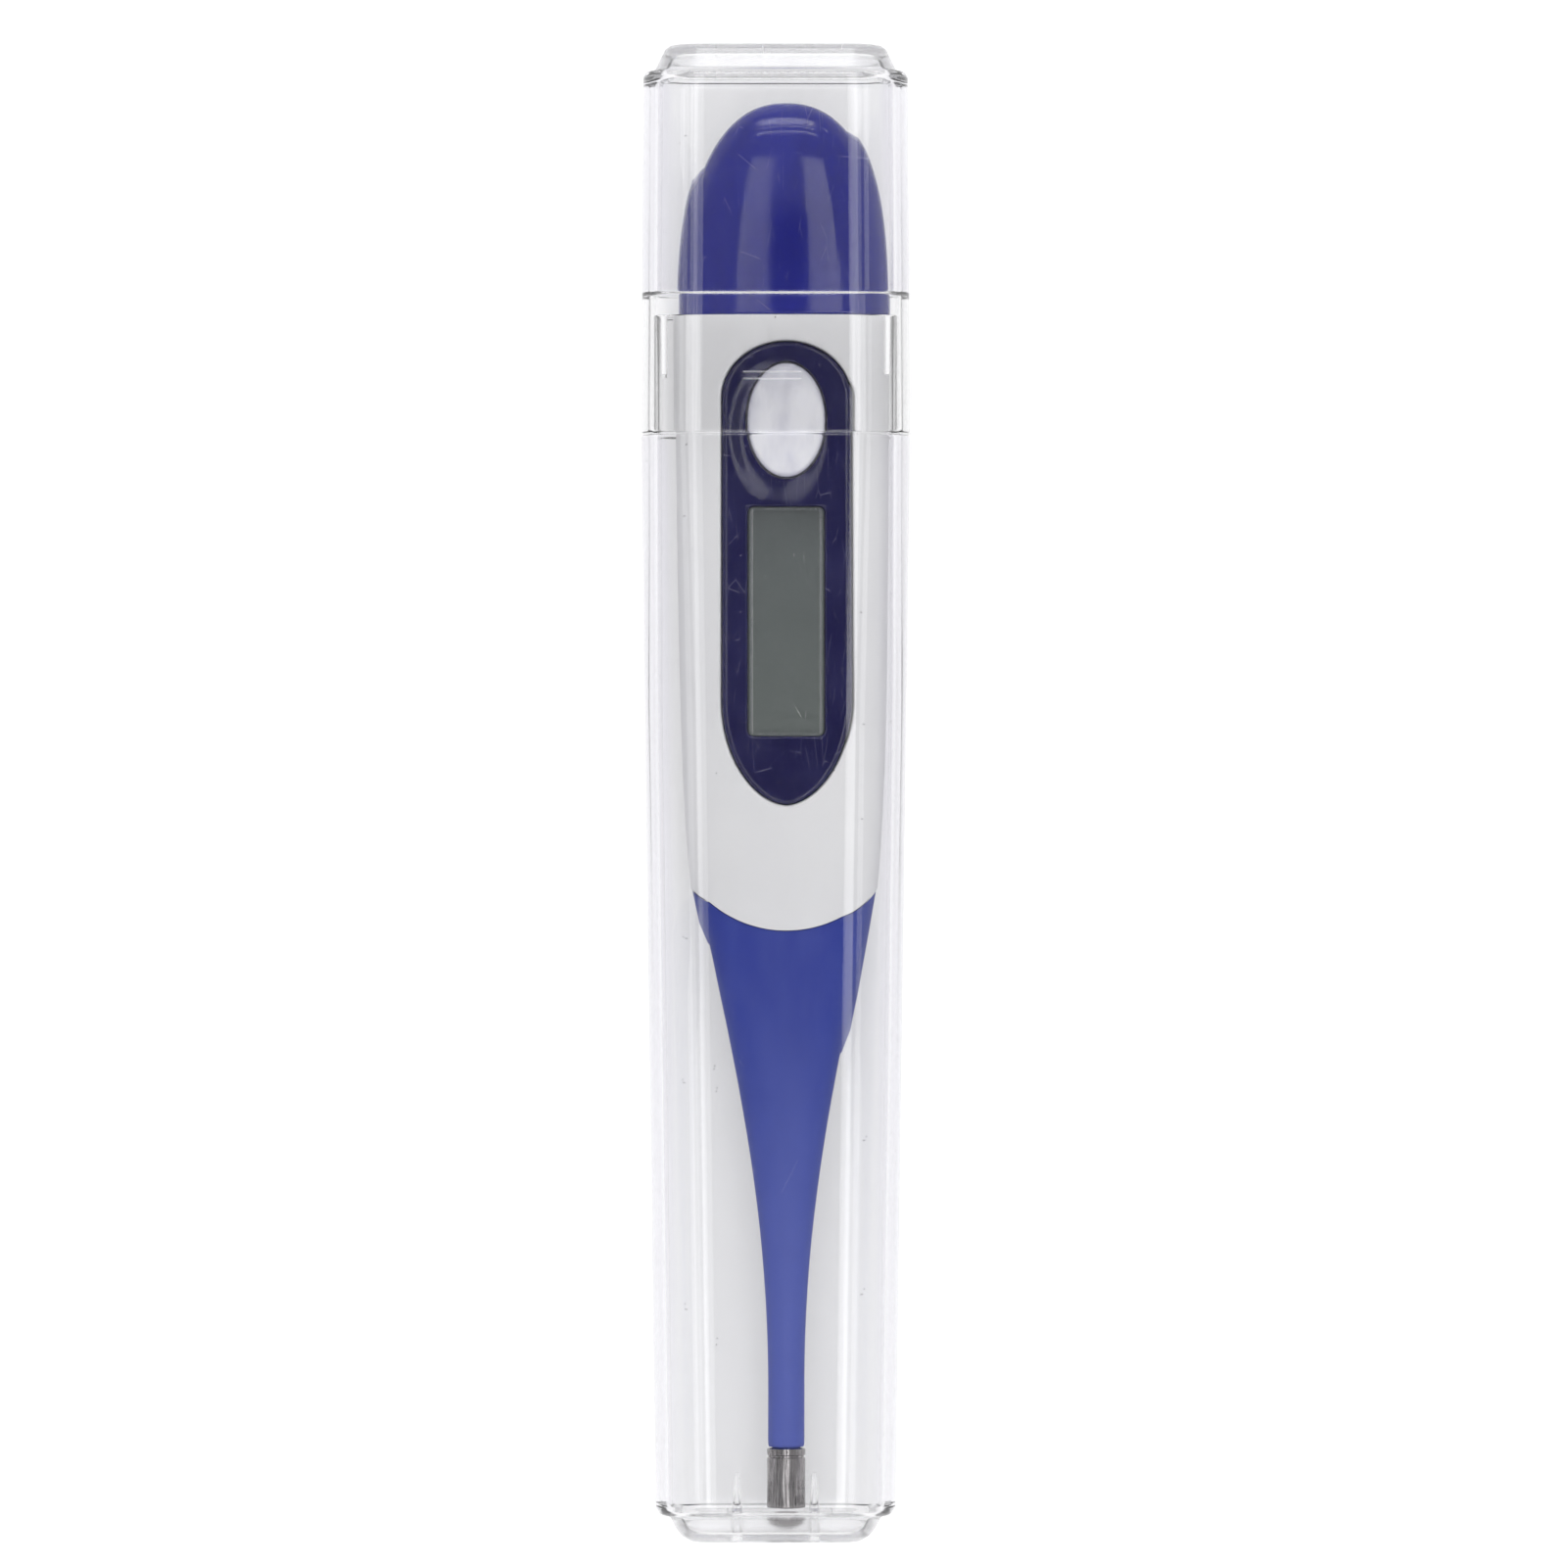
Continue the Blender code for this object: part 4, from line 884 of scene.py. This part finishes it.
def build_window():
    levels = [(3.6, -0.4), (3.6, -0.12), (3.64, -0.04), (3.72, 0.0)]
    levels += [(4.34, 0.0), (4.42, -0.04), (4.47, -0.12), (4.48, -0.2), (4.48, -0.4)]
    lens = stack("display_window", lambda grow: window_outline(0.4, grow), levels, WINDOW)
    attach(lens, "thermometer")
    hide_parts("display_lens")


def build_display():
    levels = [(2.3, -0.1), (2.38, 0.0), (2.9, 0.0), (2.92, -0.12), (3.12, -0.12), (3.2, -0.2), (3.2, -0.5)]
    glass = stack(
        "display_glass", lambda grow: box_outline(0.0, WINDOW_Y, *GLASS_SIZE, 0.2, grow), levels, DISPLAY
    )
    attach(glass, "thermometer")
    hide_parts("lcd_panel")


def build_key():
    """The key from below: its plunger, the flange that holds it in, its side, and its crowned top."""
    plunger = ((2.25, 1.05), (2.3, 1.15), (2.85, 1.2))
    flange = ((2.85, 0.3), (2.9, 0.4), (3.3, 0.4), (3.35, 0.34), (3.36, 0.03), (4.5, 0.0))
    rim_z, rim_scale, crown = 4.72, 0.92, 0.2
    rings = [[(x, KEY_Y + y, z) for x, y in circle(radius, 96)] for z, radius in plunger]
    rings += [[(x, y, z) for x, y in oval(grow)] for z, grow in flange]
    for z, scale in ((4.6, 0.985), (4.67, 0.96), (rim_z, rim_scale)):
        rings.append([(x, y, z) for x, y in oval(scale=scale)])
    for k in range(1, 16):
        scale = rim_scale * (1 - k / 15.5)
        z = rim_z + crown * (1 - (scale / rim_scale) ** 2)
        rings.append([(x, y, z) for x, y in oval(scale=scale)])
    key = skin("power_key", rings, KEY, AXIS, 40)
    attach(key, "button")
    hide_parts("power_button")


def cover_at(y):
    """Half width and half depth of the battery cover at y."""
    rise = (y - COVER_EDGE) / COVER_LENGTH
    return 9.4 * (1 - rise ** 2.3) ** (1 / 2.3), 4.9 * (1 - rise ** 3.0) ** (1 / 2.5)


def cover_inside():
    """The rings of the cover's inner skin, from its mouth to short of its round end."""
    wall, depth = 1.2, 17.6
    rings = []
    for k in range(31):
        y = COVER_EDGE + depth * math.sin(math.pi / 2 * k / 30)
        wide, deep = cover_at(y)
        if wide > 2.6 and deep > 1.8:
            rings.append(superellipse(wide - wall, deep - wall, POWER, y))
    return rings


def build_cover():
    rings = []
    for y, inset in ((COVER_EDGE, 1.2), (COVER_EDGE, 0.2), (42.63, 0.08), (42.72, 0.02), (42.85, 0.0)):
        wide, deep = cover_at(y)
        rings.append(superellipse(wide - inset, deep - inset, POWER, y))
    for k in range(1, 60):
        y = COVER_EDGE + COVER_LENGTH * math.sin(math.pi / 2 * k / 60)
        if y >= 42.95:
            rings.append(superellipse(*cover_at(y), POWER, y))
    rings = cover_inside()[::-1] + rings
    count, inner_end, outer_end = len(rings[0]), rings[0][0][1], COVER_EDGE + COVER_LENGTH
    rings = [[(0.0, inner_end, 0.0)] * count, *rings, [(0.0, outer_end, 0.0)] * count]
    cover = skin("cover_shell", rings, BLUE, AXIS, angle=30, weld=0.002)
    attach(cover, "cover")
    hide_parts("battery_cover")


def stem_rings():
    """The stem's outer skin, with the spigot at its end that the metal cup fits over."""
    rings = [superellipse(*bezier(STEM, 0)[1:], POWER, -3.0)]
    for k in range(121):
        y, wide, deep = bezier(STEM, k / 120)
        rings.append(superellipse(wide, deep, lerp(POWER, 2.0, k / 120), y))
    tail = [(-54.0, 1.62), (-56.0, 1.62), (-57.7, 1.62), (-58.15, 1.6), (-58.3, 1.52)]
    spigot = [(-58.3, 1.25), (-60.9, 1.25), (-61.0, 1.15)]
    return rings + [superellipse(radius, radius, 2.0, y) for y, radius in tail + spigot]


def stem_plug():
    """The part of the stem that is moulded inside the housing's end."""
    rings = []
    for t in (0.86, 0.9, 0.93, 0.97, 1.0):
        y, wide, deep = bezier(HOUSING, t)
        rings.append(superellipse(wide - 1.4, deep - 1.4, POWER, y))
    rings.append([(x * 0.8, -13.7, z * 0.8) for x, _, z in rings[-1]])
    return skin("plug", rings, None, AXIS)


def build_stem():
    stem = skin("stem_skin", stem_rings(), SOFT, AXIS, angle=30)
    gap = ARC_R + 0.07
    rounds = ((0, -12), (gap, -12), (gap, 12), (0, 12))
    rings = [[(x, y + ARC_Y, z) for x, y in circle(radius, 240)] for radius, z in rounds]
    combine(stem, "DIFFERENCE", skin("drum", rings, None, AXIS, weld=0.001), angle=30)
    combine(stem, "UNION", stem_plug(), angle=30)
    bore = [(4.6, 2.0, 0.0), (4.0, 1.6, -9.0), (0.8, 0.8, -17.0), (0.8, 0.8, -63.3)]
    rings = [superellipse(wide, deep, 2.0, y, 12) for wide, deep, y in bore]
    combine(stem, "DIFFERENCE", skin("bore", rings, None, AXIS), angle=30)
    stem.data.materials.clear()
    stem.data.materials.append(SOFT)
    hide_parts("flexible_tip")
    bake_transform(stem)


def cup_profile(top, dome, radius, wall):
    """(radius, y) round the cup's wall: its lip, the groove under it, its side, its dome and its inside."""
    inside = radius - wall
    profile = [(inside, top - 0.06), (inside + 0.05, top), (radius - 0.1, top), (radius - 0.03, top - 0.04)]
    profile += [(radius, top - 0.14), (radius, top - 0.5), (radius - 0.02, top - 0.58)]
    profile += [(radius - 0.09, top - 0.64), (radius - 0.11, top - 0.72), (radius - 0.09, top - 0.8)]
    profile += [(radius - 0.02, top - 0.86), (radius, top - 0.95)]
    for k in range(1, 13):
        profile.append((radius, lerp(top - 0.95, dome, k / 12)))
    for k in range(1, 17):
        a = math.pi / 2 * k / 16
        profile.append((radius * math.cos(a) if k < 16 else 0.0, dome - 1.1 * math.sin(a)))
    for k in range(16, -1, -1):
        a = math.pi / 2 * k / 16
        profile.append((inside * math.cos(a) if k < 16 else 0.0, dome - 0.85 * math.sin(a)))
    return profile


def build_probe():
    """The metal cup, with two faint dents worn into its side."""
    top, radius, wall, segments = -58.45, 1.72, 0.25, 96
    rings = []
    for wide, y in cup_profile(top, -64.3, radius, wall):
        ring = []
        for k in range(segments):
            a = 2 * math.pi * k / segments
            worn = wide
            if y < top - 1.0 and wide > radius - wall:
                worn -= 0.035 * math.sin(2 * a + 0.6) * math.exp(-((y + 61.2) / 0.9) ** 2)
                worn -= 0.02 * max(0.0, math.cos(a - 1.1)) * math.exp(-((y + 62.8) / 0.6) ** 2)
            ring.append((worn * math.cos(a), y, worn * math.sin(a)))
        rings.append(ring)
    bm = bmesh.new()
    loops = placed(bm, rings, AXIS)
    bridge(bm, loops + loops[:1])
    bmesh.ops.remove_doubles(bm, verts=bm.verts[:], dist=0.001 * MM)
    loose = [e for e in bm.edges if not e.link_faces]
    bmesh.ops.delete(bm, geom=loose, context="EDGES")
    cup = finished("probe_cup", bm, METAL, 35)
    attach(cup, "probe")
    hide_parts("metal_tip")


build_case_body()
build_case_cap()
build_housing()
build_bezel()
build_window()
build_display()
build_key()
build_cover()
build_stem()
build_probe()

# ------------------------------------------------------------------ carried-over CAD nodes
CARRIED = {
    "inner_chassis": WHITE,
    "circuit_board": BOARD,
    "controller_blob": BLACK,
    "reference_resistor": BLACK,
    "tuning_capacitor": TAN,
    "supply_capacitor": TAN,
    "switch_dome": SPRING,
    "lcd_reflector": FILM,
    "zebra_strip_left": ZEBRA,
    "zebra_strip_right": ZEBRA,
    "buzzer_plate": BRASS,
    "buzzer_ceramic": CERAMIC,
    "battery_cell": CAN,
    "battery_contact_positive": SPRING,
    "battery_contact_negative": SPRING,
    "cover_seal": RUBBER,
    "thermistor": BLACK,
    "tip_epoxy": POTTING,
}
for node, look in CARRIED.items():
    for material_slot in bpy.data.objects[node].material_slots:
        material_slot.material = look


def build_wire(name, side):
    """An enamelled wire on a smooth route from the board through the stem's bore to the bead."""
    route = [(1.8, -2.7, 0.4), (1.7, -5.0, 0.3), (0.9, -11.0, 0.05), (0.4, -17.0, 0.0)]
    route += [(0.4, -17.0 - 46.3 * k / 46, 0.0) for k in range(1, 47)]
    rings = []
    for across, y, up in route:
        rings.append([(side * across + x, y, up + z) for x, z in circle(0.15, 12)])
    wire = skin(name + "_run", rings, WIRE, AXIS)
    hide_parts(name)
    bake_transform(wire)


build_wire("lead_wire_left", -1)
build_wire("lead_wire_right", 1)


# ------------------------------------------------------------------ floor, light, world
def build_floor():
    """White paper under the case, which glows a little so that it stays white round the object."""
    bm = bmesh.new()
    bmesh.ops.create_grid(bm, x_segments=8, y_segments=8, size=1.6)
    bmesh.ops.translate(bm, verts=bm.verts, vec=(0, 0, -0.00005))
    look = Look("white sweep", (0.9, 0.9, 0.9), 0.9)
    paper = look.noise(look.mm(), 0.8, 3.0)
    look.set("Base Color", look.mix(paper, (0.53, 0.53, 0.53), (0.56, 0.56, 0.56)))
    look.shader.inputs["Emission Color"].default_value = (1.0, 1.0, 1.0, 1.0)
    look.shader.inputs["Emission Strength"].default_value = 0.56
    finished("floor", bm, look.material)


def softbox(name, location, size, energy):
    """A soft lamp that faces the object: location and size in metres, energy in watts."""
    data = bpy.data.lights.new(name, "AREA")
    data.shape = "RECTANGLE"
    data.size, data.size_y = size
    data.energy = energy
    lamp = bpy.data.objects.new(name, data)
    x, y, z = location
    lamp.location = location
    lamp.rotation_euler = (-math.atan2(y, z), math.atan2(x, z), 0.0)
    bpy.context.scene.collection.objects.link(lamp)


def build_world():
    """A studio that is brightest at the horizon, dims upwards and is nearly black round the camera."""
    world = bpy.data.worlds.new("studio")
    world.use_nodes = True
    nodes, links = world.node_tree.nodes, world.node_tree.links
    backdrop = nodes["Background"]
    backdrop.inputs["Color"].default_value = (0.985, 0.985, 1.0, 1.0)
    sky = nodes.new("ShaderNodeTexCoord")
    height = nodes.new("ShaderNodeSeparateXYZ")
    links.new(sky.outputs["Generated"], height.inputs[0])

    def band(low, high, out_low, out_high):
        made = nodes.new("ShaderNodeMapRange")
        made.interpolation_type = "SMOOTHSTEP"
        set_range(made, low, high, out_low, out_high)
        links.new(height.outputs["Z"], made.inputs["Value"])
        return made.outputs["Result"]

    def product(a, b):
        made = nodes.new("ShaderNodeMath")
        made.operation = "MULTIPLY"
        links.new(a, made.inputs[0])
        links.new(b, made.inputs[1])
        return made.outputs[0]

    walls, overhead = band(0.35, 0.85, 0.80, 0.60), band(0.96, 0.99, 1.0, 0.05)
    horizon = band(0.04, 0.12, 1.27, 1.0)
    links.new(product(product(walls, overhead), horizon), backdrop.inputs["Strength"])
    bpy.context.scene.world = world


build_floor()
softbox("far_softbox", (0.0, 1.6, 0.95), (1.0, 0.7), 8.5)
softbox("left_softbox", (-0.254, 0.0, 1.5), (0.38, 1.8), 3.9)
softbox("right_softbox", (0.30, 0.0, 1.5), (0.38, 1.8), 4.8)
build_world()
scene = bpy.context.scene
scene.cycles.max_bounces = 20
scene.cycles.transmission_bounces = 20
scene.cycles.glossy_bounces = 10
scene.view_settings.view_transform = "Standard"
scene.view_settings.look = "None"
